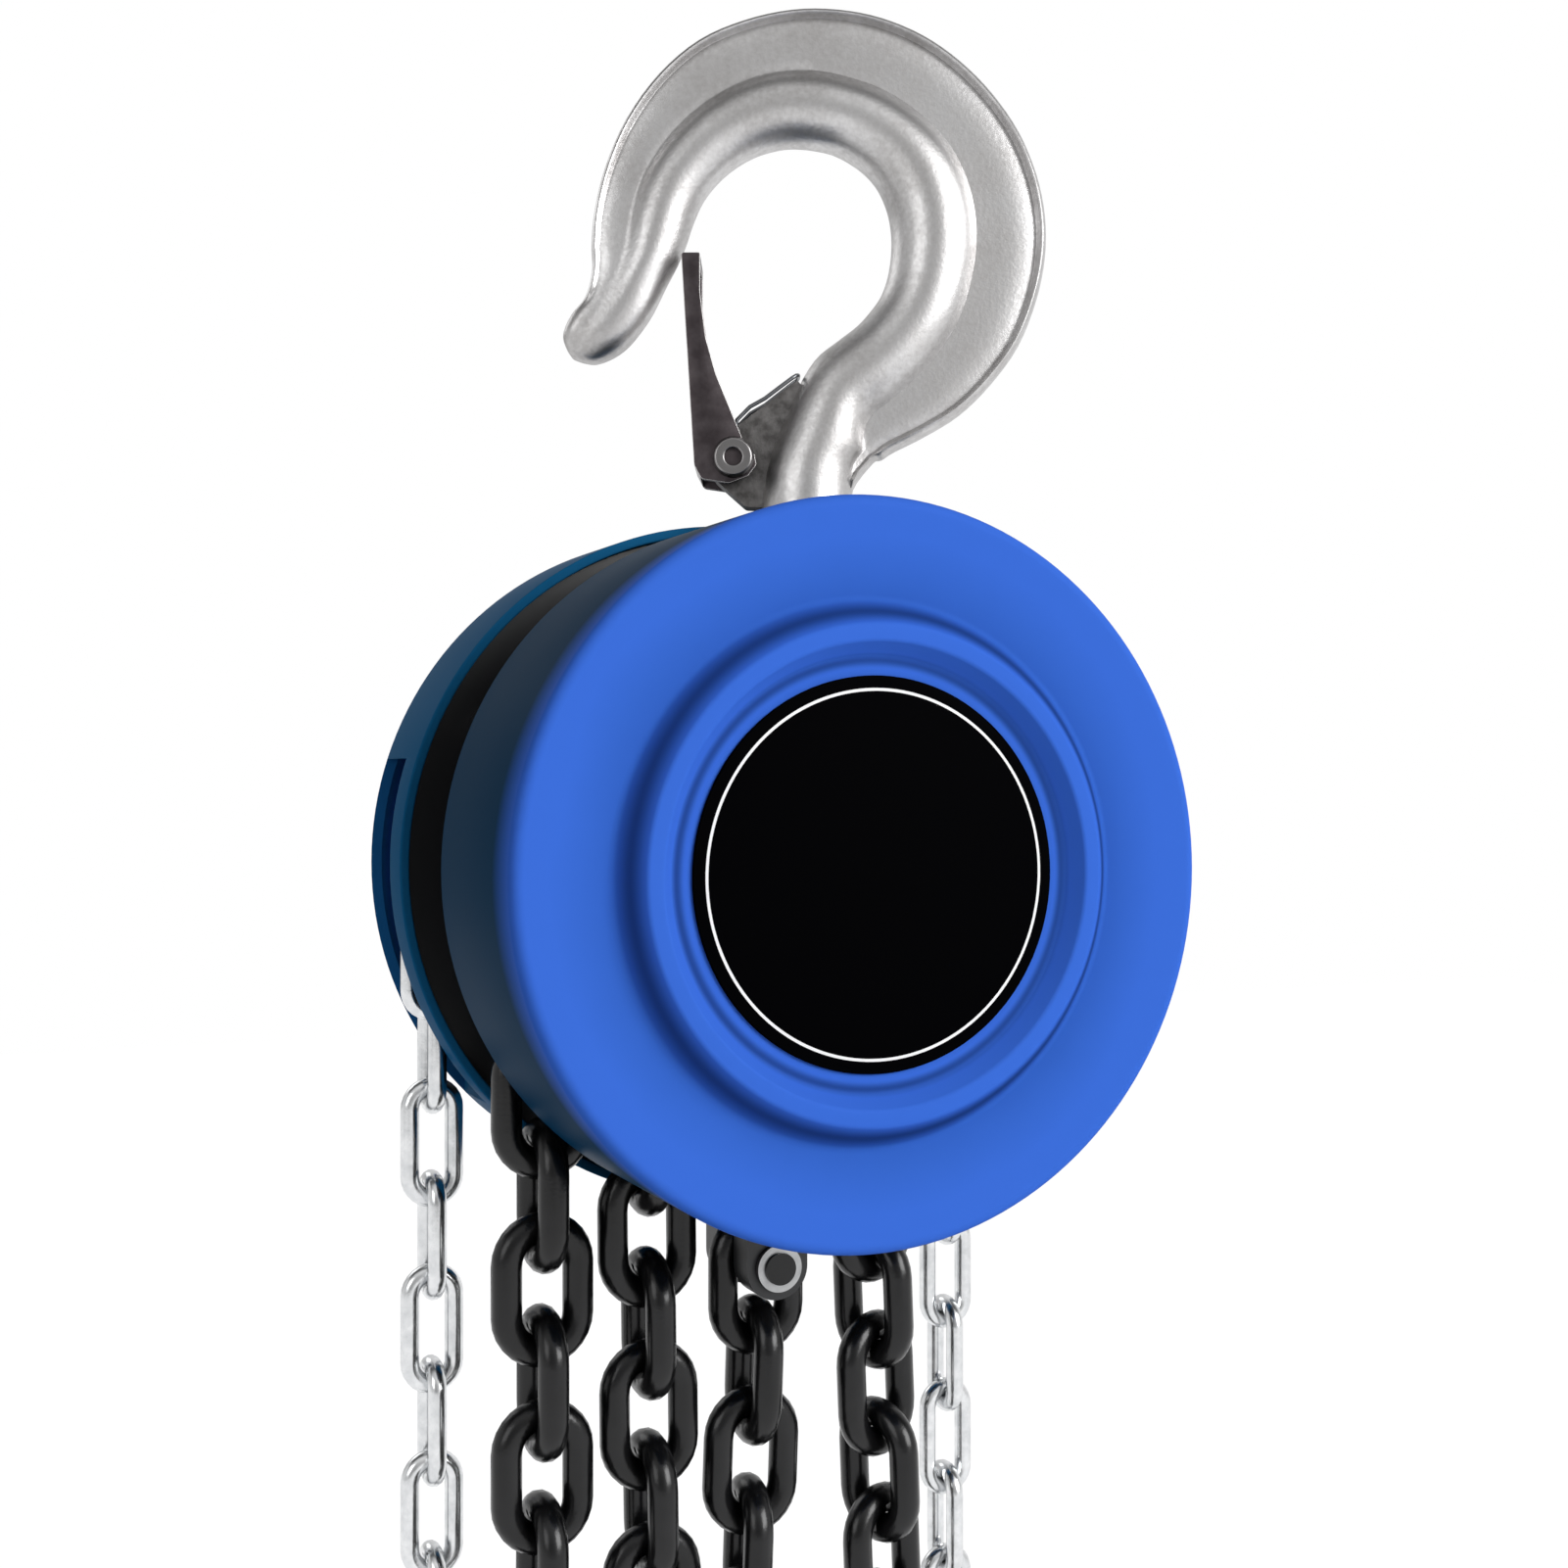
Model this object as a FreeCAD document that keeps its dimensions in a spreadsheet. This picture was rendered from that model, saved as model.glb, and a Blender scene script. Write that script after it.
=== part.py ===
"""A hand chain hoist of the round-bodied, two-fall kind, as separate pieces at their real size.

The row frame has +Z up. Its origin is the seat of the top hook, on the line that the load hangs from.
The drum of the hoist lies along Y, with its gear cover towards -Y. Most pieces are drawn in the drum's
own frame: x to the side, y up, z along the drum towards the gear cover, from the plane of the load chain.
"""
import FreeCAD, Part
import math
import os
import re
import Sketcher
from FreeCAD import Matrix, Placement, Rotation, Vector

doc = FreeCAD.newDocument("hand_chain_hoist")
sheet = doc.addObject("Spreadsheet::Sheet", "sizes")
row_of_size = {}
nodes = []


class Sizes:
    """Reads a named size from the sheet."""

    def __getattr__(self, name):
        return float(sheet.get(name))


mm = Sizes()


def write_sizes(values):
    """Each size goes in a cell of its own, as a plain number with its name for alias."""
    for name, value in values.items():
        row_of_size[name] = len(row_of_size) + 1
        sheet.set(f"A{row_of_size[name]}", str(value))
        sheet.setAlias(f"A{row_of_size[name]}", name)


def tied(expression):
    """The expression with each named size pointed at the sheet."""
    def in_sheet(word):
        return f"sizes.{word.group()}" if word.group() in row_of_size else word.group()
    return re.sub(r"[a-z][a-z0-9_]*", in_sheet, expression)


def bind(thing, **expressions):
    for name, expression in expressions.items():
        thing.setExpression(name, tied(expression))
    return thing


def stand(thing, x="0", y="0", z="0", turn=None):
    """Puts a tool or a piece at a place worked out from named sizes."""
    if turn:
        thing.Placement = Placement(Vector(), turn)
    for axis, expression in zip("xyz", (x, y, z)):
        thing.setExpression(f"Placement.Base.{axis}", tied(expression))
    return thing


def fresh(name):
    """A name for a tool or step, numbered where it comes again."""
    taken = {thing.Name for thing in doc.Objects}
    count = 1
    while f"{name}_{count}" in taken:
        count += 1
    return f"{name}_{count}"


def rod(radius, length, x="0", y="0", z="0", turn=None):
    """A round bar whose axis is z, unless it is turned."""
    bar = doc.addObject("Part::Cylinder", fresh("rod"))
    return stand(bind(bar, Radius=radius, Height=length), x, y, z, turn)


def slab(length, width, height, x="0", y="0", z="0", turn=None):
    """A block from its low corner."""
    block = doc.addObject("Part::Box", fresh("slab"))
    return stand(bind(block, Length=length, Width=width, Height=height), x, y, z, turn)


def hexagon(across_flats, length, x="0", y="0", z="0", turn=None):
    """A hexagon bar, as for a nut or a bolt's head."""
    bar = doc.addObject("Part::Prism", fresh("hexagon"))
    bar.Polygon = 6
    bind(bar, Circumradius=f"({across_flats}) / (2 * cos(30))", Height=length)
    return stand(bar, x, y, z, turn)


def joined(*things):
    """Things fused into one solid, or kept side by side where they don't touch."""
    if len(things) == 1:
        return things[0]
    whole = doc.addObject("Part::MultiFuse", fresh("joined"))
    whole.Shapes = list(things)
    return whole


def less(base, *tools):
    """The base with the tools cut away."""
    cut = doc.addObject("Part::Cut", fresh("cut"))
    cut.Base = base
    cut.Tool = joined(*tools)
    return cut


def sketch_on(body, role, outline):
    """A closed outline of straight lines, each corner held by two sizes from the sheet."""
    sketch = body.newObject("Sketcher::SketchObject", fresh(body.Name + "_outline"))
    plane = next(f for f in body.Origin.OriginFeatures if f.Role == role)
    sketch.AttachmentSupport = (plane, [""])
    sketch.MapMode = "FlatFace"
    count = len(outline)
    rough = [Vector(math.cos(i) * (i + 1), math.sin(i) * (i + 1), 0) for i in range(count)]
    for i in range(count):
        sketch.addGeometry(Part.LineSegment(rough[i], rough[(i + 1) % count]), False)
    for i in range(count):
        sketch.addConstraint(Sketcher.Constraint("Coincident", i, 2, (i + 1) % count, 1))
    for i, corner in enumerate(outline):
        for kind, expression, place in zip(("DistanceX", "DistanceY"), corner, rough[i]):
            held = sketch.addConstraint(Sketcher.Constraint(kind, -1, 1, i, 1, place))
            sketch.setExpression(f"Constraints[{held}]", tied(expression))
    return sketch


def turned(name, outline):
    """A piece turned about z, from its outline of (radius, height) corners."""
    body = doc.addObject("PartDesign::Body", name)
    profile = sketch_on(body, "XZ_Plane", outline)
    revolution = body.newObject("PartDesign::Revolution", name + "_turned")
    revolution.Profile = profile
    revolution.ReferenceAxis = (profile, ["V_Axis"])
    revolution.Angle = 360
    return body


def shaped(name, shape):
    """A piece whose shape is worked out here from the sheet's sizes."""
    thing = doc.addObject("Part::Feature", name)
    thing.Shape = shape
    return thing


def node(name, thing, placement=None):
    """Names a finished piece and puts it in its place."""
    doc.recompute()
    if placement:
        thing.Placement = placement
    thing.Label = name
    nodes.append(thing)
    return thing


# The whole: where the drum hangs from the seat of the top hook, and the clearances between pieces
WHOLE = {
    "drum_side": 16,
    "drum_drop": 193.4,
    "face_gap": 0.3,
    "running_gap": 0.05,
    "overrun": 2,
}
write_sizes(WHOLE)

# Chains: round steel wire bent into links, with each link square to the next
CHAINS = {
    "load_wire": 8,
    "load_pitch": 24,
    "load_width": 27,
    "hand_wire": 5,
    "hand_pitch": 25,
    "hand_width": 17,
    "link_bend_steps": 4,
    "link_wire_sides": 6,
}
write_sizes(CHAINS)

CHAIN_LAYOUT = {
    "load_pockets": 4,
    "hand_pockets": 10,
    "hand_wheel_plane": -36.5,
    "settling_steps": 1500,
    "live_fall_lying_links": 8,
    "standing_fall_lying_links": 5,
    "slack_front_links": 3,
    "slack_back_links": 2,
    "slack_loop_lying_links": 3,
    "slack_front_foot": -29.6,
    "slack_pin_side": -58.7,
    "slack_pin_up": -53.6,
    "anchor_pin_side": 0.75,
    "anchor_pin_up": -105.3,
    "anchor_pin_radius": 5,
    "hand_fall_lying_links": 5,
    "hand_loop_lying_links": 7,
    "fall_twist": -20,
    "fall_twist_links": 3,
    "fall_straight_links": 1,
    "pin_hang_gap": 0.5,
}
write_sizes(CHAIN_LAYOUT)

# Shells of the drum: gear cover with its raised ring, name plate, and the cover over the hand wheel
SHELLS = {
    "gear_cover_radius": 89,
    "cover_edge": 15,
    "gear_face_rim": 76,
    "gear_face_rim_break": 1.5,
    "gear_cover_bore": 86,
    "gear_face_inside": 73,
    "ring_outside_radius": 61.5,
    "ring_valley": 71.5,
    "ring_crest_outside": 58,
    "ring_crest_inside": 55,
    "ring_crest": 78.5,
    "ring_inside_radius": 51.5,
    "plate_seat": 74,
    "cover_floor": 71,
    "cover_floor_radius": 52,
    "cover_floor_rise": 56,
    "cover_floor_crest": 74,
    "cover_floor_fall": 60,
    "cover_floor_low": 68.5,
    "name_plate_radius": 46.6,
    "name_plate_thickness": 1,
    "wheel_cover_radius": 92,
    "wheel_cover_bore": 89.5,
    "wheel_cover_shoulder": -50,
    "wheel_cover_slope_radius": 86,
    "wheel_cover_face": -57,
    "wheel_boss_radius": 36,
    "wheel_boss_slope": 3,
    "wheel_boss_face": -60.5,
    "wheel_cover_inside_shoulder": -49,
    "wheel_cover_inside_slope": 85,
    "wheel_cover_inside_face": -54.5,
    "wheel_boss_inside_radius": 35,
    "wheel_boss_inside_face": -58,
    "window_reach": 34,
    "window_side": 66,
    "window_low": -95,
    "window_height": 123,
    "window_back": -49.5,
    "window_length": 23,
}
write_sizes(SHELLS)

# Cover screws: three through each skirt, along radii into the rim of a side plate
COVER_SCREWS = {
    "screw_plane": 21.5,
    "screw_head_radius": 4.2,
    "screw_head_height": 2.2,
    "screw_head_top_radius": 3,
    "screw_radius": 2.4,
    "screw_hole": 2.5,
    "screw_depth": 9,
    "screw_hole_depth": 10,
    "screw_slot": 1.1,
    "screw_slot_depth": 1,
    "screw_first_angle": 80,
    "screw_step": 80,
}
write_sizes(COVER_SCREWS)

# Frame: two round side plates on four stay bolts, with the top pin and the pin for the slack end
FRAME = {
    "plate_inside": 19,
    "plate_thickness": 5,
    "gear_plate_radius": 85.7,
    "wheel_plate_radius": 89.2,
    "bearing_radius": 28,
    "bearing_bore": 20.05,
    "sheave_hub_radius": 20,
    "stay_radius": 6,
    "stay_end_radius": 4,
    "stay_end": 32,
    "stay_a_side": -67,
    "stay_a_up": 36,
    "stay_b_side": 63,
    "stay_b_up": 42,
    "stay_c_side": 62,
    "stay_c_up": -45,
    "stay_d_side": 3,
    "stay_d_up": -72,
    "stay_nut_flats": 13,
    "stay_nut_height": 6.5,
    "top_pin_side": 16,
    "top_pin_up": 61,
    "top_pin_radius": 7,
    "top_pin_head_radius": 9.5,
    "top_pin_head": 3,
    "stripper_side": 8,
    "stripper_low": -56,
    "stripper_height": 6,
    "stripper_slot_gap": 0.1,
    "stripper_finger_side": 6.5,
    "stripper_finger_top": -19.2,
    "stripper_finger_half": 3.4,
    "post_radius": 5,
    "post_end_radius": 3.5,
    "post_circle": 66,
    "post_first_angle": 90,
    "post_second_angle": 240,
    "post_third_angle": 300,
    "spindle_side": 43.2,
    "spindle_radius": 4,
    "pawl_pin_circle": 54,
    "pawl_pin_angle": 48,
    "pawl_pin_radius": 4,
}
write_sizes(FRAME)

# Chain anchor: a bracket on the lowest stay, whose pin holds the dead end of the load chain
ANCHOR = {
    "anchor_half_width": 14.4,
    "anchor_slot_half": 5.2,
    "anchor_eye_radius": 12,
    "anchor_boss_radius": 8.6,
    "anchor_slot_top": -88,
    "anchor_pin_end_radius": 4.2,
    "anchor_pin_end": 17,
    "anchor_ring_radius": 6.2,
    "anchor_ring_start": 14.7,
    "anchor_ring_end": 16.1,
}
write_sizes(ANCHOR)

# Gear train between the drive shaft and the load sheave, in two matching pairs
GEAR_TRAIN = {
    "tooth_share": 0.72,
    "tooth_root_share": 0.9,
    "tooth_tip_share": 0.55,
    "tooth_root_width_share": 1.15,
    "tooth_tip_width_share": 0.5,
    "drive_pinion_teeth": 8,
    "intermediate_gear_teeth": 36,
    "intermediate_pinion_teeth": 8,
    "load_gear_teeth": 40,
    "sheave_bore": 8.05,
    "sheave_radius": 34,
    "sheave_half_width": 18,
    "sheave_groove_radius": 17.1,
    "sheave_groove_half": 4.6,
    "sheave_hub_end": 24,
    "sheave_shoulder": 26.8,
    "gear_seat_radius": 16,
    "gear_seat_end": 38,
    "ring_groove_radius": 15,
    "ring_groove_start": 35.6,
    "ring_groove_end": 36.8,
    "load_ring_radius": 18.5,
    "pocket_floor_gap": 0.3,
    "pocket_length": 43,
    "pocket_width": 28.2,
    "load_gear_start": 26.9,
    "load_gear_width": 8.5,
    "pinion_start": 26.5,
    "pinion_width": 11.5,
    "wheel_gear_start": 39,
    "wheel_gear_width": 8,
    "wheel_gear_seat": 7,
    "wheel_gear_seat_end": 47.2,
    "spindle_shoulder": 6,
    "spindle_inner_start": 24.2,
    "spindle_outer_start": 51.8,
    "bearing_plate_start": 52,
    "bearing_plate_thickness": 4,
    "bearing_plate_radius": 74,
    "shaft_radius": 8,
    "shaft_end_radius": 6,
    "shaft_end": -55.5,
    "shaft_step": -47.4,
    "drive_pinion_start": 38.5,
    "drive_pinion_end": 48,
    "shaft_journal_radius": 5.5,
}
write_sizes(GEAR_TRAIN)

# Load brake and hand wheel
BRAKE = {
    "hub_bore": 8.06,
    "hub_flange_radius": 32,
    "hub_face": -26,
    "hub_flange_end": -30,
    "hub_sleeve_radius": 12,
    "hub_sleeve_end": -39.5,
    "disc_bore": 12.06,
    "disc_radius": 30,
    "disc_first": -32.6,
    "disc_second": -39.4,
    "disc_thickness": 2.5,
    "ratchet_start": -36.75,
    "ratchet_thickness": 4,
    "ratchet_teeth": 12,
    "ratchet_radius": 38,
    "ratchet_root": 33,
    "wheel_web_inside": -39.8,
    "wheel_web_outside": -47.2,
    "wheel_rim_inside_radius": 64,
    "wheel_rim_inside": -26,
    "wheel_rim_radius": 83,
    "wheel_groove_radius": 70.4,
    "wheel_groove_half": 3.1,
    "hand_pocket_length": 36.2,
    "hand_pocket_width": 18.2,
    "hand_pocket_gap": 0.17,
    "washer_bore": 6.06,
    "washer_radius": 14,
    "washer_start": -48.9,
    "washer_end": -47.5,
    "wheel_nut_flats": 19,
    "wheel_nut_start": -55.2,
    "wheel_nut_height": 6.2,
    "pawl_tip_inside": 33.4,
    "pawl_tip_outside": 38.2,
    "pawl_tip_gap": 0.3,
    "pawl_arm_outside": 43.6,
    "pawl_arm_inside": 28.8,
    "pawl_arm_up": 38,
    "pawl_heel_up": 20,
    "pawl_eye_radius": 7.5,
    "pawl_pin_end": -38.6,
    "pawl_spring_radius": 5.3,
    "pawl_spring_wire": 0.5,
    "pawl_spring_start": -31.6,
    "pawl_spring_pitch": 1.7,
    "pawl_spring_turns": 3,
    "pawl_spring_leg": 9,
    "wire_sides": 8,
    "coil_steps": 14,
}
write_sizes(BRAKE)

# Top yoke, which takes the hook's shank above and the top pin below
YOKE = {
    "yoke_half_length": 22,
    "yoke_low": 50,
    "yoke_high": 93,
    "yoke_corner": 7,
    "yoke_half_width": 14.4,
    "yoke_roof": 84,
    "yoke_window_low": 71.5,
    "yoke_window_half": 16,
    "shank_radius": 10.5,
    "shank_bore": 10.6,
    "thrust_washer_radius": 14,
    "thrust_washer_low": 82.1,
}
write_sizes(YOKE)

# Hook: a forging with its lug, and the safety latch with its rivet and spring. Sides and heights are in the
# hook's own plane, from the seat of its bowl.
HOOK = {
    "hook_shank_inside": -92,
    "hook_shank_end": -120.8,
    "hook_yaw": -24,
    "hook_nut_low": -119.9,
    "hook_nut_height": 8.5,
    "hook_nut_flats": 24.8,
    "nut_pin_radius": 1.5,
    "nut_pin_half": 14.2,
    "nut_pin_up": -115.6,
    "rivet_side": -19.9,
    "rivet_up": -85,
    "rivet_radius": 4,
    "rivet_bore": 2.2,
    "rivet_head_radius": 5.4,
    "rivet_half": 9.5,
    "rivet_head_half": 10.6,
    "lug_half": 4,
    "lug_bar_side": -2.7,
    "lug_bar_up": -63.8,
    "lug_shoulder_side": -14.4,
    "lug_shoulder_up": -72.6,
    "lug_nose_side": -24.6,
    "lug_nose_up": -80.6,
    "lug_heel_side": -26,
    "lug_heel_up": -90.6,
    "lug_foot_side": -16.7,
    "lug_foot_up": -98.6,
    "lug_inside": 2,
    "lug_inside_up": -72,
    "latch_half": 9.4,
    "latch_wall_inside": 7.6,
    "latch_web": 1.7,
    "latch_low_side": -30.4,
    "latch_low_up": -87,
    "latch_foot_side": -28.4,
    "latch_foot_up": -90.8,
    "latch_heel_side": -21,
    "latch_heel_up": -91.9,
    "latch_lobe_side": -16,
    "latch_lobe_up": -90,
    "latch_back_side": -13.7,
    "latch_back_up": -87,
    "latch_shoulder_side": -14.3,
    "latch_shoulder_up": -84,
    "latch_hip_side": -17.5,
    "latch_hip_up": -80,
    "latch_waist_side": -20.4,
    "latch_waist_up": -73,
    "latch_neck_side": -24.5,
    "latch_neck_up": -63,
    "latch_throat_side": -27.3,
    "latch_throat_up": -53,
    "latch_jaw_side": -29,
    "latch_jaw_up": -41,
    "latch_tip_side": -29.4,
    "latch_tip_up": -30.6,
    "latch_brow_side": -33.4,
    "latch_brow_up": -30.6,
    "latch_channel_low": -100,
    "latch_channel_high": -33,
    "latch_channel_reach": 5,
    "latch_spring_radius": 4.7,
    "latch_spring_wire": 0.5,
    "latch_spring_first": 6.9,
    "latch_spring_pitch": 1.45,
    "latch_spring_turns": 1.3625,
    "latch_spring_first_angle": 194.5,
    "latch_spring_leg": 17,
    "latch_spring_bar_leg": 15,
    "hook_bowl": 50,
    "hook_web_power": 5,
    "hook_web_end_share": 0.4,
}
write_sizes(HOOK)

# Bottom block: two cheeks round the idler sheave, with a crosshead that carries the lower hook
BLOCK = {
    "cheek_inside": 18.2,
    "cheek_thickness": 6,
    "cheek_radius": 50,
    "cheek_half_width": 44,
    "cheek_low": -79,
    "block_bolt_radius": 5,
    "block_bolt_end_radius": 4,
    "block_bolt_end": 32,
    "block_top_bolt_up": 40,
    "block_low_bolt_side": 37,
    "block_low_bolt_up": -46,
    "axle_radius": 9,
    "axle_end_radius": 7,
    "idler_half_width": 17.6,
    "crosshead_half_length": 15,
    "crosshead_half_width": 18.1,
    "crosshead_low": -77,
    "crosshead_height": 18,
    "crosshead_seat": -68,
    "crosshead_recess_radius": 14.7,
    "tongue_half_length": 9,
    "tongue_low": -75,
    "tongue_height": 14,
    "tongue_gap": 0.1,
    "lower_washer_high": -66.05,
    "lower_seat_drop": -177.4,
}
write_sizes(BLOCK)

# The hook forging, drawn in its own plane: x across, z up, with the bowl's seat at the origin. Each station
# holds the inner edge, the outer edge, the round bar's diameter and the web's thickness.
BAR_POINT_SHARES = (0, 0.15, 0.5, 0.85)
WEB_POINT_SHARES = (0.5, 0.93, 1)
HOOK_STATION_SHARES = (
    (-0.25, -2, 0.25, -2, 0.5, 0.16),
    (-0.246, -1.874, 0.244, -1.826, 0.492, 0.18),
    (-0.212, -1.682, 0.362, -1.696, 0.496, 0.2),
    (-0.072, -1.352, 0.41, -1.688, 0.468, 0.2),
    (0.062, -1.178, 0.494, -1.656, 0.456, 0.2),
    (0.294, -0.984, 0.798, -1.488, 0.448, 0.2),
    (0.41, -0.83, 1.088, -1.192, 0.448, 0.2),
    (0.468, -0.52, 1.306, -0.52, 0.464, 0.2),
    (0.44, -0.328, 1.242, -0.074, 0.468, 0.2),
    (0.334, -0.154, 0.934, 0.412, 0.452, 0.2),
    (0.16, -0.028, 0.436, 0.714, 0.424, 0.2),
    (-0.054, 0, -0.064, 0.756, 0.404, 0.2),
    (-0.266, -0.034, -0.518, 0.578, 0.38, 0.2),
    (-0.44, -0.144, -0.842, 0.314, 0.364, 0.2),
    (-0.556, -0.298, -1.044, -0.024, 0.36, 0.2),
    (-0.63, -0.444, -1.178, -0.394, 0.352, 0.22),
    (-0.682, -0.608, -1.18, -0.608, 0.34, 0.252),
    (-0.76, -0.752, -1.19, -0.69, 0.328, 0.276),
    (-0.846, -0.888, -1.242, -0.82, 0.316, 0.28),
    (-0.934, -1.024, -1.302, -0.908, 0.3, 0.268),
    (-1.02, -1.116, -1.326, -0.984, 0.26, 0.228),
    (-1.118, -1.156, -1.318, -1.054, 0.188, 0.148),
)
doc.recompute()

TOWARDS_FRONT = Rotation(Vector(1, 0, 0), 90)
drum = Placement(Vector(-mm.drum_side, 0, -mm.drum_drop), TOWARDS_FRONT)


class Chain:
    """One size of chain. A standing link lies in the plane of its wheel, a lying link square to it."""

    def __init__(self, wire, pitch, width):
        self.wire = wire
        self.pitch = pitch
        self.width = width
        self.bend = (width - wire) / 2
        # the chain turns about the centre of a standing link's bend, where the lying link's wire passes
        self.standing_half = (pitch + wire) / 2 - self.bend
        self.lying_half = pitch - self.standing_half

    def link(self):
        """One link along z, standing in the plane of x and z, its wire a prism with an edge inward."""
        sides = int(mm.link_wire_sides)
        steps = int(mm.link_bend_steps)
        straight = (self.pitch + self.wire) / 2 - self.bend
        # flats of the bend's inside touch the true hole, so a neighbour's wire turns in it
        widened = 1 / math.cos(math.pi / steps / 2)
        stations = []
        for end in (1, -1):
            for step in range(steps + 1):
                angle = math.pi * step / steps + (0 if end == 1 else math.pi)
                stations.append((angle, Vector(math.cos(angle) * self.bend, 0,
                                               math.sin(angle) * self.bend + end * straight)))
        sections = []
        for angle, centre in stations:
            outward = Vector(math.cos(angle), 0, math.sin(angle))
            corners = []
            for side in range(sides):
                around = 2 * math.pi * side / sides
                from_wire = math.cos(around) * self.wire / 2
                if from_wire < 0:
                    from_wire = (self.bend + from_wire) * widened - self.bend
                corners.append(centre + outward * from_wire + Vector(0, math.sin(around) * self.wire / 2, 0))
            sections.append(corners)
        faces = []
        for i, corners in enumerate(sections):
            following = sections[(i + 1) % len(sections)]
            for side in range(sides):
                beside = (side + 1) % sides
                ring = [corners[side], corners[beside], following[beside], following[side]]
                faces.append(Part.Face(Part.makePolygon(ring + ring[:1])))
        solid = Part.Solid(Part.Shell(faces))
        if solid.Volume < 0:
            solid.reverse()
        return solid

    def on_wheel(self, pockets):
        """Radii of the standing and the lying links' centres round a pocket wheel."""
        half = math.pi / pockets
        standing = (self.lying_half + self.standing_half * math.cos(half)) / math.sin(half)
        lying = standing * math.cos(half) + self.standing_half * math.sin(half)
        return standing, lying

    def standing_ends(self, centre, angle):
        """Both pivots of a standing link at this place, with its length at this angle from x."""
        along = Vector(math.cos(angle), math.sin(angle), 0) * self.standing_half
        return centre - along, centre + along


def links_along(chain, pivots, first_standing, twists=None):
    """Links laid from pivot to pivot in the plane of the wheels, standing and lying by turns."""
    link = chain.link()
    laid = []
    for i in range(len(pivots) - 1):
        along = pivots[i + 1] - pivots[i]
        middle = (pivots[i] + pivots[i + 1]) / 2
        lying = (i % 2 == 0) != first_standing
        turn = 90 if lying else 0
        if twists:
            turn += twists[i]
        angle = math.degrees(math.atan2(along.y, along.x))
        into_plane = Rotation(Vector(0, 0, 1), angle - 90).multiply(Rotation(Vector(1, 0, 0), -90))
        whole = Placement(middle, into_plane.multiply(Rotation(Vector(0, 0, 1), turn)))
        copy = link.copy()
        copy.transformShape(whole.toMatrix())
        laid.append(copy)
    return laid


def straight_pivots(chain, start, end, lying_links):
    """Pivots on a line, for lying and standing links by turns that begin and end with a lying one."""
    along = end - start
    along.normalize()
    pivots = [start]
    for i in range(2 * lying_links - 1):
        pivots.append(pivots[-1] + along * 2 * (chain.standing_half if i % 2 else chain.lying_half))
    return pivots


def hung_pivots(chain, start, end, lying_links):
    """Pivots of a slack run that hangs from both ends, settled by small steps under its own weight."""
    count = 2 * lying_links - 1
    spans = [2 * (chain.standing_half if i % 2 else chain.lying_half) for i in range(count)]
    length = sum(spans)
    pivots = []
    for i in range(count + 1):
        share = sum(spans[:i]) / length
        drop = length / 2 * (1 - abs(2 * share - 1))
        pivots.append(start + (end - start) * share - Vector(0, drop, 0))
    for step in range(int(mm.settling_steps)):
        for i in range(1, count):
            pivots[i] = pivots[i] - Vector(0, chain.pitch / mm.settling_steps, 0)
        for i in list(range(count)) + list(reversed(range(count))):
            along = pivots[i + 1] - pivots[i]
            excess = along.Length - spans[i]
            along.normalize()
            first = 0 if i == 0 else (1 if i == count - 1 else 0.5)
            last = 1 - first if 0 < i < count - 1 else (1 if i == 0 else 0)
            pivots[i] = pivots[i] + along * (excess * (0 if i == 0 else first))
            pivots[i + 1] = pivots[i + 1] - along * (excess * (0 if i == count - 1 else last))
    return pivots


def wheel_pivots(chain, pockets, centre, first_angle, standing_links, way):
    """Pivots round a pocket wheel, from the first standing link's near end to the last one's far end."""
    radius = chain.on_wheel(pockets)[0]
    pivots = []
    for i in range(standing_links):
        angle = first_angle + way * i * 2 * math.pi / pockets
        place = centre + Vector(math.cos(angle), math.sin(angle), 0) * radius
        pivots += chain.standing_ends(place, angle + way * math.pi / 2)
    return pivots


load_chain = Chain(mm.load_wire, mm.load_pitch, mm.load_width)
hand_chain = Chain(mm.hand_wire, mm.hand_pitch, mm.hand_width)
load_standing_radius, load_lying_radius = load_chain.on_wheel(mm.load_pockets)
hand_standing_radius, hand_lying_radius = hand_chain.on_wheel(mm.hand_pockets)


def hung_on(pin_side, pin_up):
    """Centre of a standing link of load chain that hangs on a pin, and its lower pivot."""
    centre = Vector(pin_side, pin_up + mm.anchor_pin_radius - load_chain.pitch / 2 + mm.pin_hang_gap, 0)
    return centre, centre - Vector(0, load_chain.standing_half, 0)


def twisted(count):
    """Twist of each link of a fall, which turns over some links after the first and back before the last."""
    turned_by = []
    for i in range(count):
        from_end = min(i, count - 1 - i) - mm.fall_straight_links
        turned_by.append(mm.fall_twist * max(0, min(1, from_end / mm.fall_twist_links)))
    return turned_by


# The load chain: dead end on the anchor pin, round the bottom sheave, over the load sheave, slack end
anchor_link, anchor_end = hung_on(mm.anchor_pin_side, mm.anchor_pin_up)
slack_link, slack_end = hung_on(mm.slack_pin_side, mm.slack_pin_up)
over_sheave = wheel_pivots(load_chain, mm.load_pockets, Vector(), 0, 3, 1)
live_top = over_sheave[0]
slack_top = over_sheave[-1]
live_length = mm.live_fall_lying_links * 2 * load_chain.pitch - 2 * load_chain.standing_half
block_side = (load_standing_radius + mm.anchor_pin_side) / 2


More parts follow.
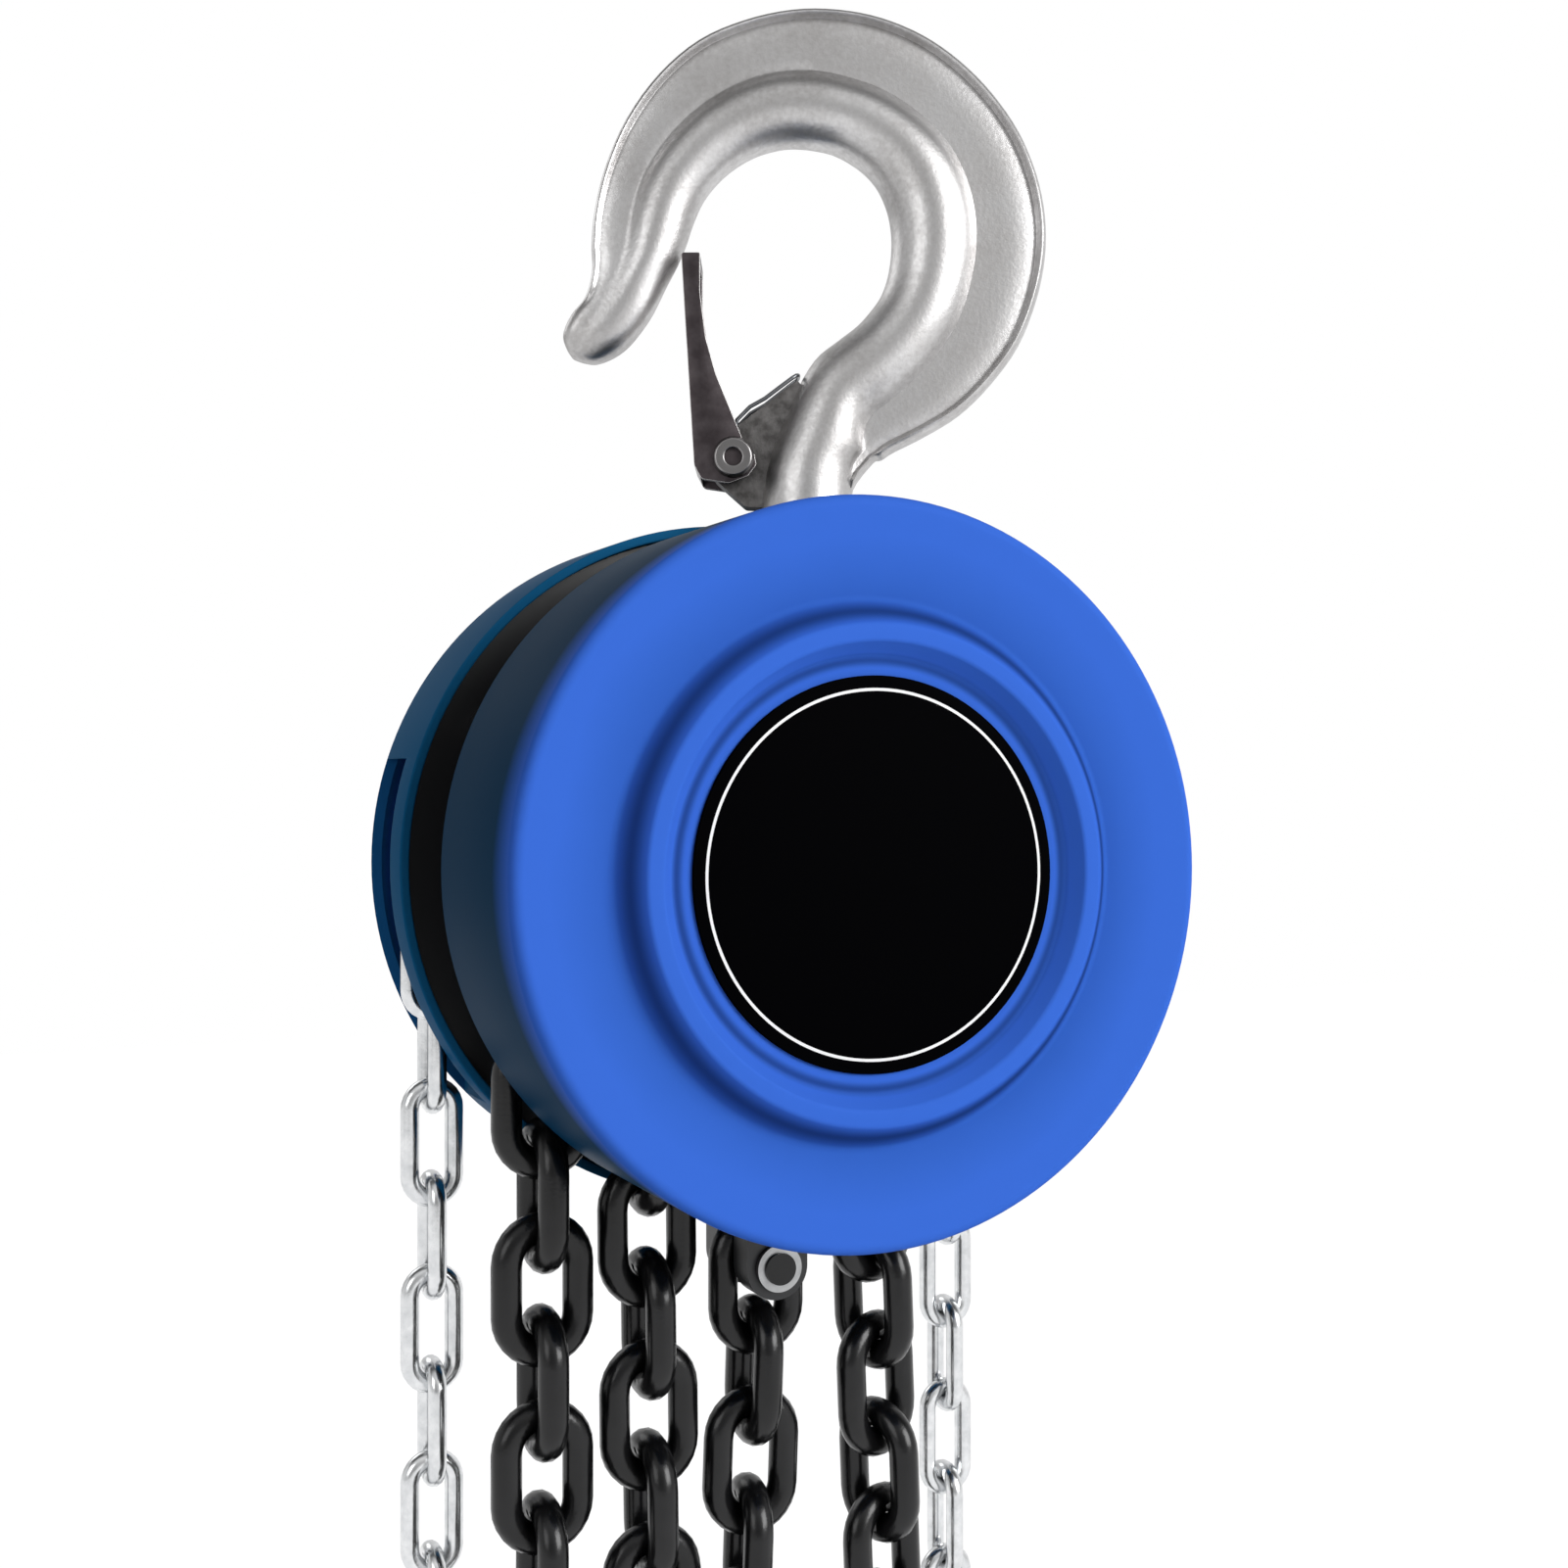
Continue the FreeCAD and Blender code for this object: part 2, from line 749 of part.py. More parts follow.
def block_for(phase):
    """Drop of the bottom sheave, and the links it leaves for the standing fall, at one turn of it."""
    first = wheel_pivots(load_chain, mm.load_pockets, Vector(block_side, 0, 0), -phase, 3, -1)
    side = first[0].x - live_top.x
    drop = live_top.y - math.sqrt(live_length ** 2 - side ** 2) - first[0].y
    reach = first[-1] + Vector(0, drop, 0) - anchor_end
    return drop, (reach.Length + 2 * load_chain.standing_half) / (2 * load_chain.pitch)


def turn_of_bottom_sheave():
    """The turn of the bottom sheave at which a whole number of links fills the standing fall."""
    low, high = 0, 2 * math.pi / mm.load_pockets
    while high - low > 1e-9:
        middle = (low + high) / 2
        if block_for(middle)[1] > mm.standing_fall_lying_links:
            low = middle
        else:
            high = middle
    return low


bottom_phase = turn_of_bottom_sheave()
block_up = block_for(bottom_phase)[0]
block_centre = Vector(block_side, block_up, 0)
under_sheave = wheel_pivots(load_chain, mm.load_pockets, block_centre, -bottom_phase, 3, -1)
live_pivots = straight_pivots(load_chain, live_top, under_sheave[0], int(mm.live_fall_lying_links))
standing_pivots = straight_pivots(load_chain, under_sheave[-1], anchor_end,
                                  int(mm.standing_fall_lying_links))
slack_foot = Vector(mm.slack_front_foot, slack_top.y - mm.slack_front_links * 2 * load_chain.pitch, 0)
slack_front = straight_pivots(load_chain, slack_top, slack_foot, int(mm.slack_front_links) + 1)[:-1]
slack_back = straight_pivots(load_chain, slack_end, slack_end - Vector(0, 1, 0),
                             int(mm.slack_back_links) + 1)[:-1]
slack_loop = hung_pivots(load_chain, slack_front[-1], slack_back[-1], int(mm.slack_loop_lying_links))


def fall_links(chain, pivots):
    """The links of a fall, turned part way round by the twist that the chain takes up."""
    return links_along(chain, pivots, False, twisted(len(pivots) - 1))


live_fall = fall_links(load_chain, live_pivots) + links_along(load_chain, under_sheave, True)
standing_fall = fall_links(load_chain, standing_pivots)
standing_fall += links_along(load_chain, [anchor_end, anchor_link * 2 - anchor_end], True)
slack_run = links_along(load_chain, over_sheave, True)
for run in (slack_front, slack_back, slack_loop):
    slack_run += links_along(load_chain, run, False)
slack_run += links_along(load_chain, [slack_end, slack_link * 2 - slack_end], True)
node("load_chain_live_fall", shaped("live_fall", Part.makeCompound(live_fall)), drum)
node("load_chain_standing_fall", shaped("standing_fall", Part.makeCompound(standing_fall)), drum)
node("load_chain_slack_end", shaped("slack_run", Part.makeCompound(slack_run)), drum)

# The hand chain: one endless loop over the hand wheel
hand_half = math.pi / mm.hand_pockets
over_wheel = wheel_pivots(hand_chain, mm.hand_pockets, Vector(), hand_half, int(mm.hand_pockets / 2), 1)
down = Vector(0, -1, 0)
hand_falls = []
for top in (over_wheel[0], over_wheel[-1]):
    hand_falls.append(straight_pivots(hand_chain, top, top + down, int(mm.hand_fall_lying_links) + 1)[:-1])
hand_loop = hung_pivots(hand_chain, hand_falls[0][-1], hand_falls[1][-1], int(mm.hand_loop_lying_links))
hand_links = links_along(hand_chain, over_wheel, True)
for run in hand_falls + [hand_loop]:
    hand_links += links_along(hand_chain, run, False)
node("hand_chain", shaped("hand_chain_loop", Part.makeCompound(hand_links)),
     drum.multiply(Placement(Vector(0, 0, mm.hand_wheel_plane), Rotation())))

# Helpers for whole pieces
def padded(name, outline, thickness, z="0"):
    """A flat piece of one thickness along z, from its outline of (x, y) corners."""
    body = doc.addObject("PartDesign::Body", name)
    profile = sketch_on(body, "XY_Plane", outline)
    pad = body.newObject("PartDesign::Pad", name + "_pad")
    pad.Profile = profile
    bind(pad, Length=thickness)
    return stand(body, z=z)


def radial(angle):
    """Lays a piece's z axis out along a radius of the drum."""
    return Rotation(Vector(0, 0, 1), angle).multiply(Rotation(Vector(0, 1, 0), 90))


def at_radius(radius, angle):
    """The x and y expressions of a place on a circle about the drum's axis."""
    return f"({radius}) * cos({angle})", f"({radius}) * sin({angle})"


def copies(name, thing, places):
    """One node of several solids, the same piece at each place."""
    doc.recompute()
    shapes = []
    for place in places:
        copy = thing.Shape.copy()
        copy.Placement = place.multiply(copy.Placement)
        shapes.append(copy)
    return shaped(name, Part.makeCompound(shapes))


def toothed(name, teeth, pitch_radius, thickness, z, first_angle):
    """A spur gear's blank with plain straight-sided teeth, the first of them at first_angle."""
    half_tooth = math.pi * pitch_radius / teeth / 2 * mm.tooth_share
    module = 2 * pitch_radius / teeth
    stations = ((pitch_radius - mm.tooth_root_share * module, mm.tooth_root_width_share, -1),
                (pitch_radius, 1, -1),
                (pitch_radius + mm.tooth_tip_share * module, mm.tooth_tip_width_share, -1),
                (pitch_radius + mm.tooth_tip_share * module, mm.tooth_tip_width_share, 1),
                (pitch_radius, 1, 1),
                (pitch_radius - mm.tooth_root_share * module, mm.tooth_root_width_share, 1))
    corners = []
    for tooth in range(int(teeth)):
        for radius, width, way in stations:
            angle = math.radians(first_angle) + 2 * math.pi * tooth / teeth + way * half_tooth * width / radius
            corners.append(Vector(math.cos(angle) * radius, math.sin(angle) * radius, z))
    blank = Part.Face(Part.makePolygon(corners + corners[:1])).extrude(Vector(0, 0, thickness))
    return shaped(name, blank)


gear_cover = turned("gear_cover_turned", [
    ("0", "cover_floor"), ("cover_floor_radius", "cover_floor"), ("cover_floor_rise", "cover_floor_crest"),
    ("cover_floor_fall", "cover_floor_low"), ("gear_cover_bore", "gear_face_inside"),
    ("gear_cover_bore", "cover_edge"), ("gear_cover_radius", "cover_edge"),
    ("gear_cover_radius", "gear_face_rim - gear_face_rim_break"),
    ("gear_cover_radius - gear_face_rim_break", "gear_face_rim"), ("ring_outside_radius", "ring_valley"),
    ("ring_crest_outside", "ring_crest"), ("ring_crest_inside", "ring_crest"),
    ("ring_inside_radius", "plate_seat"), ("0", "plate_seat")])
wheel_cover = turned("wheel_cover_turned", [
    ("0", "wheel_boss_face"), ("wheel_boss_radius", "wheel_boss_face"),
    ("wheel_boss_radius + wheel_boss_slope", "wheel_cover_face"), ("wheel_cover_slope_radius", "wheel_cover_face"),
    ("wheel_cover_radius", "wheel_cover_shoulder"), ("wheel_cover_radius", "-cover_edge"),
    ("wheel_cover_bore", "-cover_edge"), ("wheel_cover_bore", "wheel_cover_inside_shoulder"),
    ("wheel_cover_inside_slope", "wheel_cover_inside_face"),
    ("wheel_boss_inside_radius + wheel_boss_slope", "wheel_cover_inside_face"),
    ("wheel_boss_inside_radius", "wheel_boss_inside_face"), ("0", "wheel_boss_inside_face")])
name_plate = turned("name_plate_turned", [
    ("0", "plate_seat"), ("name_plate_radius", "plate_seat"),
    ("name_plate_radius", "plate_seat + name_plate_thickness"), ("0", "plate_seat + name_plate_thickness")])

SCREW_ANGLES = ("screw_first_angle", "screw_first_angle - screw_step", "screw_first_angle - 2 * screw_step")


def cover_screws():
    """Slotted round heads on both skirts, with their threads in the plates' rims."""
    screw = turned("cover_screw", [
        ("0", "-screw_depth"), ("screw_radius", "-screw_depth"), ("screw_radius", "face_gap / 6"),
        ("screw_head_radius", "face_gap / 6"), ("screw_head_radius", "screw_head_height / 2"),
        ("screw_head_top_radius", "screw_head_height"), ("0", "screw_head_height")])
    slot = slab("2 * (screw_head_radius + overrun)", "screw_slot", "screw_slot_depth + overrun",
                "-screw_head_radius - overrun", "-screw_slot / 2", "screw_head_height - screw_slot_depth")
    slotted = less(screw, slot)
    places = []
    for radius, side in ((mm.gear_cover_radius, 1), (mm.wheel_cover_radius, -1)):
        for i in range(3):
            turn = radial(mm.screw_first_angle - i * mm.screw_step)
            outward = turn.multVec(Vector(0, 0, radius))
            places.append(drum.multiply(Placement(outward + Vector(0, 0, side * mm.screw_plane), turn)))
    return node("cover_screws", copies("cover_screw_set", slotted, places))


def screw_holes(reach, side):
    """Tools for the three screw holes, from screw_hole_depth below the skirt outward."""
    tools = []
    for angle in SCREW_ANGLES:
        x, y = at_radius(f"{reach} - screw_hole_depth", angle)
        tools.append(rod("screw_hole", "screw_hole_depth + overrun", x, y, f"{side} * screw_plane",
                         radial(mm.screw_first_angle - SCREW_ANGLES.index(angle) * mm.screw_step)))
    return tools


node("gear_cover", less(gear_cover, *screw_holes("gear_cover_radius", "1")), drum)
windows = [
    slab("window_reach", "window_height", "window_length", "window_side", "window_low", "window_back"),
    slab("window_reach", "window_height", "window_length", "-window_side - window_reach", "window_low",
         "window_back")]
node("wheel_cover", less(wheel_cover, *screw_holes("wheel_cover_radius", "-1"), *windows), drum)
node("name_plate", name_plate, drum)
cover_screws()

PLATE_PINS = [("stay_a_side", "stay_a_up"), ("stay_b_side", "stay_b_up"), ("stay_c_side", "stay_c_up"),
              ("stay_d_side", "stay_d_up")]
POST_ANGLES = ("post_first_angle", "post_second_angle", "post_third_angle")


def plate_tools(low, length):
    """Holes that both side plates share, over one reach along the drum."""
    tools = [rod("stay_end_radius + running_gap", length, x, y, low) for x, y in PLATE_PINS]
    tools.append(rod("top_pin_radius + running_gap", length, "top_pin_side", "top_pin_up", low))
    tools.append(rod("anchor_pin_radius + running_gap", length, "slack_pin_side", "slack_pin_up", low))
    tools.append(rod("bearing_radius + running_gap", length, "0", "0", low))
    tools.append(slab("2 * (stripper_side + stripper_slot_gap)", "stripper_height + 2 * stripper_slot_gap", length,
                      "-stripper_side - stripper_slot_gap", "stripper_low - stripper_slot_gap", low))
    return tools


gear_plate = less(
    rod("gear_plate_radius", "plate_thickness", z="plate_inside"),
    *plate_tools("plate_inside - overrun", "plate_thickness + 2 * overrun"),
    *[rod("post_end_radius + running_gap", "plate_thickness + 2 * overrun", *at_radius("post_circle", angle),
          "plate_inside - overrun") for angle in POST_ANGLES],
    *[rod("spindle_radius + running_gap", "plate_thickness + 2 * overrun", side + "spindle_side", "0",
          "plate_inside - overrun") for side in ("", "-")],
    *screw_holes("gear_cover_radius", "1"))
node("gear_side_plate", gear_plate, drum)
wheel_plate = less(
    rod("wheel_plate_radius", "plate_thickness", z="-plate_inside - plate_thickness"),
    *plate_tools("-plate_inside - plate_thickness - overrun", "plate_thickness + 2 * overrun"),
    *[rod("pawl_pin_radius + running_gap", "plate_thickness + 2 * overrun",
          *at_radius("pawl_pin_circle", f"pawl_pin_angle + {turn}"), "-plate_inside - plate_thickness - overrun")
      for turn in ("0", "180")],
    *screw_holes("wheel_cover_radius", "-1"))
node("wheel_side_plate", wheel_plate, drum)

stay = turned("stay", [
    ("0", "-plate_inside - plate_thickness"), ("stay_end_radius", "-plate_inside - plate_thickness"),
    ("stay_end_radius", "-plate_inside"), ("stay_radius", "-plate_inside"), ("stay_radius", "plate_inside"),
    ("stay_end_radius", "plate_inside"), ("stay_end_radius", "stay_end"), ("0", "stay_end")])
stay_places = [drum.multiply(Placement(Vector(getattr(mm, x), getattr(mm, y), 0), Rotation()))
               for x, y in PLATE_PINS]
node("stay_bolts", copies("stay_set", stay, stay_places))
stay_nut = less(
    hexagon("stay_nut_flats", "stay_nut_height", z="plate_inside + plate_thickness + running_gap"),
    rod("stay_end_radius + running_gap", "stay_nut_height + 2 * overrun",
        z="plate_inside + plate_thickness - overrun"))
node("stay_nuts", copies("stay_nut_set", stay_nut, stay_places))
node("top_pin", turned("top_pin_turned", [
    ("0", "-plate_inside - plate_thickness"), ("top_pin_radius", "-plate_inside - plate_thickness"),
    ("top_pin_radius", "plate_inside + plate_thickness + running_gap"),
    ("top_pin_head_radius", "plate_inside + plate_thickness + running_gap"),
    ("top_pin_head_radius", "plate_inside + plate_thickness + top_pin_head"),
    ("0", "plate_inside + plate_thickness + top_pin_head")]),
     drum.multiply(Placement(Vector(mm.top_pin_side, mm.top_pin_up, 0), Rotation())))
node("slack_end_pin", turned("slack_end_pin_turned", [
    ("0", "-plate_inside - plate_thickness"), ("anchor_pin_radius", "-plate_inside - plate_thickness"),
    ("anchor_pin_radius", "plate_inside + plate_thickness"), ("0", "plate_inside + plate_thickness")]),
     drum.multiply(Placement(Vector(mm.slack_pin_side, mm.slack_pin_up, 0), Rotation())))
node("chain_stripper", joined(
    slab("2 * stripper_side", "stripper_height", "2 * (plate_inside + plate_thickness)", "-stripper_side",
         "stripper_low", "-plate_inside - plate_thickness"),
    slab("2 * stripper_finger_side", "stripper_finger_top - stripper_low - stripper_height / 2",
         "2 * stripper_finger_half", "-stripper_finger_side", "stripper_low + stripper_height / 2",
         "-stripper_finger_half")), drum)
bearing = turned("bearing_ring", [
    ("bearing_bore", "plate_inside"), ("bearing_radius", "plate_inside"),
    ("bearing_radius", "plate_inside + plate_thickness"), ("bearing_bore", "plate_inside + plate_thickness")])
node("sheave_bearings", copies("bearing_pair", bearing, [
    drum, drum.multiply(Placement(Vector(0, 0, -2 * mm.plate_inside - mm.plate_thickness), Rotation()))]))

anchor = less(
    joined(rod("anchor_eye_radius", "2 * anchor_half_width", "stay_d_side", "stay_d_up", "-anchor_half_width"),
           rod("anchor_boss_radius", "2 * anchor_half_width", "anchor_pin_side", "anchor_pin_up",
               "-anchor_half_width"),
           slab("2 * anchor_boss_radius", "stay_d_up - anchor_pin_up", "2 * anchor_half_width",
                "anchor_pin_side - anchor_boss_radius", "anchor_pin_up", "-anchor_half_width")),
    rod("stay_radius + running_gap", "2 * (anchor_half_width + overrun)", "stay_d_side", "stay_d_up",
        "-anchor_half_width - overrun"),
    rod("anchor_pin_radius + running_gap", "2 * (anchor_half_width + overrun)", "anchor_pin_side",
        "anchor_pin_up", "-anchor_half_width - overrun"),
    slab("4 * anchor_boss_radius", "anchor_slot_top - anchor_pin_up + 2 * anchor_boss_radius",
         "2 * anchor_slot_half", "anchor_pin_side - 2 * anchor_boss_radius",
         "anchor_pin_up - 2 * anchor_boss_radius", "-anchor_slot_half"))
node("chain_anchor", anchor, drum)
anchor_place = drum.multiply(Placement(Vector(mm.anchor_pin_side, mm.anchor_pin_up, 0), Rotation()))
node("anchor_pin", turned("anchor_pin_turned", [
    ("0", "-anchor_half_width"), ("anchor_pin_radius", "-anchor_half_width"),
    ("anchor_pin_radius", "anchor_half_width + running_gap"),
    ("anchor_pin_end_radius", "anchor_half_width + running_gap"),
    ("anchor_pin_end_radius", "anchor_pin_end"), ("0", "anchor_pin_end")]), anchor_place)
node("anchor_ring", turned("anchor_ring_turned", [
    ("anchor_pin_end_radius + running_gap", "anchor_ring_start"), ("anchor_ring_radius", "anchor_ring_start"),
    ("anchor_ring_radius", "anchor_ring_end"), ("anchor_pin_end_radius + running_gap", "anchor_ring_end")]),
     anchor_place)


def centres(driver_teeth, driven_teeth):
    """Pitch radii that share the distance between the drive shaft and a spindle."""
    whole = driver_teeth + driven_teeth
    return mm.spindle_side * driver_teeth / whole, mm.spindle_side * driven_teeth / whole


def pockets(name, radius_to_floor, length, width, reach, count, first_angle, plane=0):
    """Tools for the pockets of a chain wheel, each with rounded ends as a lying link has."""
    doc.recompute()
    tools = []
    for i in range(int(count)):
        turn = Rotation(Vector(0, 0, 1), math.degrees(first_angle) + 360 * i / count)
        half = (length - width) / 2
        box = Part.makeBox(reach, 2 * half, width, Vector(radius_to_floor, -half, plane - width / 2))
        ends = [Part.makeCylinder(width / 2, reach, Vector(radius_to_floor, side * half, plane), Vector(1, 0, 0))
                for side in (1, -1)]
        tool = box.fuse(ends)
        tool.Placement = Placement(Vector(), turn)
        tools.append(tool)
    return shaped(name, Part.makeCompound(tools))


def load_pocket_tools(name, first_angle):
    floor = load_lying_radius - mm.load_wire / 2 - mm.pocket_floor_gap
    return pockets(name, floor, mm.pocket_length, mm.pocket_width, mm.sheave_radius, mm.load_pockets,
                   first_angle)


groove = [("sheave_radius", "-sheave_groove_half"), ("sheave_groove_radius", "-sheave_groove_half"),
          ("sheave_groove_radius", "sheave_groove_half"), ("sheave_radius", "sheave_groove_half")]
sheave = turned("load_sheave_turned", [
    ("sheave_bore", "-sheave_hub_end"), ("sheave_hub_radius", "-sheave_hub_end"),
    ("sheave_hub_radius", "-sheave_half_width"), ("sheave_radius", "-sheave_half_width"), *groove,
    ("sheave_radius", "sheave_half_width"), ("sheave_hub_radius", "sheave_half_width"),
    ("sheave_hub_radius", "sheave_shoulder"), ("gear_seat_radius", "sheave_shoulder"),
    ("gear_seat_radius", "ring_groove_start"), ("ring_groove_radius", "ring_groove_start"),
    ("ring_groove_radius", "ring_groove_end"), ("gear_seat_radius", "ring_groove_end"),
    ("gear_seat_radius", "gear_seat_end"), ("sheave_bore", "gear_seat_end")])
node("load_sheave", less(sheave, load_pocket_tools("load_sheave_pockets", math.pi / mm.load_pockets)), drum)
pinion_radius, load_gear_radius = centres(mm.intermediate_pinion_teeth, mm.load_gear_teeth)
drive_radius, wheel_gear_radius = centres(mm.drive_pinion_teeth, mm.intermediate_gear_teeth)
load_gear_wheel = less(
    toothed("load_gear_teeth_blank", mm.load_gear_teeth, load_gear_radius, mm.load_gear_width,
            mm.load_gear_start, 0),
    rod("gear_seat_radius + running_gap", "load_gear_width + 2 * overrun", z="load_gear_start - overrun"))
load_gear_ring = turned("load_gear_ring", [
    ("ring_groove_radius + running_gap", "ring_groove_start + running_gap"),
    ("load_ring_radius", "ring_groove_start + running_gap"),
    ("load_ring_radius", "ring_groove_end - running_gap"),
    ("ring_groove_radius + running_gap", "ring_groove_end - running_gap")])
doc.recompute()
node("load_gear", shaped("load_gear_and_ring", Part.makeCompound([load_gear_wheel.Shape, load_gear_ring.Shape])),
     drum)
half_pitch = 180 / mm.intermediate_gear_teeth
for name, side in (("right", 1), ("left", -1)):
    place = drum.multiply(Placement(Vector(side * mm.spindle_side, 0, 0), Rotation()))
    spindle = turned(f"spindle_{name}", [
        ("0", "plate_inside"), ("spindle_radius", "plate_inside"), ("spindle_radius", "spindle_inner_start"),
        ("spindle_shoulder", "spindle_inner_start"), ("spindle_shoulder", "pinion_start"),
        ("0", "pinion_start")])
    seat = turned(f"gear_seat_{name}", [
        ("0", "pinion_start + pinion_width"), ("wheel_gear_seat", "pinion_start + pinion_width"),
        ("wheel_gear_seat", "wheel_gear_seat_end"), ("spindle_shoulder", "wheel_gear_seat_end"),
        ("spindle_shoulder", "spindle_outer_start"), ("spindle_radius", "spindle_outer_start"),
        ("spindle_radius", "bearing_plate_start + bearing_plate_thickness"),
        ("0", "bearing_plate_start + bearing_plate_thickness")])
    pinion = toothed(f"pinion_{name}_teeth", mm.intermediate_pinion_teeth, pinion_radius, mm.pinion_width,
                     mm.pinion_start, 180 / mm.intermediate_pinion_teeth)
    node(f"intermediate_pinion_{name}", joined(pinion, spindle, seat), place)
    node(f"intermediate_gear_{name}", less(
        toothed(f"gear_{name}_teeth", mm.intermediate_gear_teeth, wheel_gear_radius, mm.wheel_gear_width,
                mm.wheel_gear_start, half_pitch),
        rod("wheel_gear_seat + running_gap", "wheel_gear_width + 2 * overrun", z="wheel_gear_start - overrun")),
        place)
shaft = turned("drive_shaft_turned", [
    ("0", "shaft_end"), ("shaft_end_radius", "shaft_end"), ("shaft_end_radius", "shaft_step"),
    ("shaft_radius", "shaft_step"), ("shaft_radius", "drive_pinion_start"), ("0", "drive_pinion_start")])
journal = turned("drive_shaft_journal", [
    ("0", "drive_pinion_end"), ("shaft_journal_radius", "drive_pinion_end"),
    ("shaft_journal_radius", "bearing_plate_start + bearing_plate_thickness"),
    ("0", "bearing_plate_start + bearing_plate_thickness")])
drive_pinion = toothed("drive_pinion_teeth_blank", mm.drive_pinion_teeth, drive_radius,
                       mm.drive_pinion_end - mm.drive_pinion_start, mm.drive_pinion_start, 0)
node("drive_shaft", joined(shaft, drive_pinion, journal), drum)
node("gear_bearing_plate", less(
    rod("bearing_plate_radius", "bearing_plate_thickness", z="bearing_plate_start"),
    rod("shaft_journal_radius + running_gap", "bearing_plate_thickness + 2 * overrun",
        z="bearing_plate_start - overrun"),
    *[rod("spindle_radius + running_gap", "bearing_plate_thickness + 2 * overrun", side + "spindle_side", "0",
          "bearing_plate_start - overrun") for side in ("", "-")],
    *[rod("post_end_radius + running_gap", "bearing_plate_thickness + 2 * overrun",
          *at_radius("post_circle", angle), "bearing_plate_start - overrun") for angle in POST_ANGLES]), drum)
post = turned("gear_post", [
    ("0", "plate_inside"), ("post_end_radius", "plate_inside"),
    ("post_end_radius", "plate_inside + plate_thickness + running_gap"),
    ("post_radius", "plate_inside + plate_thickness + running_gap"),
    ("post_radius", "bearing_plate_start - running_gap"), ("post_end_radius", "bearing_plate_start - running_gap"),
    ("post_end_radius", "bearing_plate_start + bearing_plate_thickness"),
    ("0", "bearing_plate_start + bearing_plate_thickness")])
post_angles = (mm.post_first_angle, mm.post_second_angle, mm.post_third_angle)
node("gear_posts", copies("gear_post_set", post, [
    drum.multiply(Placement(Rotation(Vector(0, 0, 1), a).multVec(Vector(mm.post_circle, 0, 0)), Rotation()))
    for a in post_angles]))

node("friction_hub", turned("friction_hub_turned", [
    ("hub_bore", "hub_face"), ("hub_flange_radius", "hub_face"), ("hub_flange_radius", "hub_flange_end"),
    ("hub_sleeve_radius", "hub_flange_end"), ("hub_sleeve_radius", "hub_sleeve_end"),
    ("hub_bore", "hub_sleeve_end")]), drum)
disc = turned("friction_disc", [("disc_bore", "0"), ("disc_radius", "0"), ("disc_radius", "disc_thickness"),
                                ("disc_bore", "disc_thickness")])
node("friction_discs", copies("friction_disc_pair", disc, [
    drum.multiply(Placement(Vector(0, 0, start), Rotation())) for start in (mm.disc_first, mm.disc_second)]))
ratchet_corners = []
for tooth in range(int(mm.ratchet_teeth)):
    angle = 2 * math.pi * tooth / mm.ratchet_teeth
    for radius in (mm.ratchet_radius, mm.ratchet_root):
        ratchet_corners.append(Vector(math.cos(angle) * radius, math.sin(angle) * radius, mm.ratchet_start))
ratchet_face = Part.Face(Part.makePolygon(ratchet_corners + ratchet_corners[:1]))
node("ratchet", less(shaped("ratchet_blank", ratchet_face.extrude(Vector(0, 0, mm.ratchet_thickness))),
                     rod("disc_bore", "ratchet_thickness + 2 * overrun", z="ratchet_start - overrun")), drum)
hand_wheel = turned("hand_wheel_turned", [
    ("hub_bore", "wheel_web_inside"), ("wheel_rim_inside_radius", "wheel_web_inside"),
    ("wheel_rim_inside_radius", "wheel_rim_inside"), ("wheel_rim_radius", "wheel_rim_inside"),
    ("wheel_rim_radius", "hand_wheel_plane + wheel_groove_half"),
    ("wheel_groove_radius", "hand_wheel_plane + wheel_groove_half"),
    ("wheel_groove_radius", "hand_wheel_plane - wheel_groove_half"),
    ("wheel_rim_radius", "hand_wheel_plane - wheel_groove_half"), ("wheel_rim_radius", "wheel_web_outside"),
    ("hub_bore", "wheel_web_outside")])
node("hand_wheel", less(hand_wheel, pockets(
    "hand_wheel_pockets", hand_lying_radius - mm.hand_wire / 2 - mm.hand_pocket_gap, mm.hand_pocket_length,
    mm.hand_pocket_width, mm.sheave_radius, mm.hand_pockets, 0, mm.hand_wheel_plane)), drum)
node("wheel_washer", turned("wheel_washer_turned", [
    ("washer_bore", "washer_start"), ("washer_radius", "washer_start"), ("washer_radius", "washer_end"),
    ("washer_bore", "washer_end")]), drum)
node("wheel_nut", less(
    hexagon("wheel_nut_flats", "wheel_nut_height", z="wheel_nut_start"),
    rod("washer_bore", "wheel_nut_height + 2 * overrun", z="wheel_nut_start - overrun")), drum)
pawl_x, pawl_y = at_radius("pawl_pin_circle", "pawl_pin_angle")
pawl_pin = turned("pawl_pin", [
    ("0", "pawl_pin_end"), ("pawl_pin_radius", "pawl_pin_end"), ("pawl_pin_radius", "-plate_inside"),
    ("0", "-plate_inside")])
pawl_turns = [Rotation(Vector(0, 0, 1), turn) for turn in (0, 180)]
pawl_angle = math.radians(mm.pawl_pin_angle)
pawl_place = Vector(math.cos(pawl_angle), math.sin(pawl_angle), 0) * mm.pawl_pin_circle
node("pawl_pins", copies("pawl_pin_pair", pawl_pin, [
    drum.multiply(Placement(turn.multVec(pawl_place), turn)) for turn in pawl_turns]))
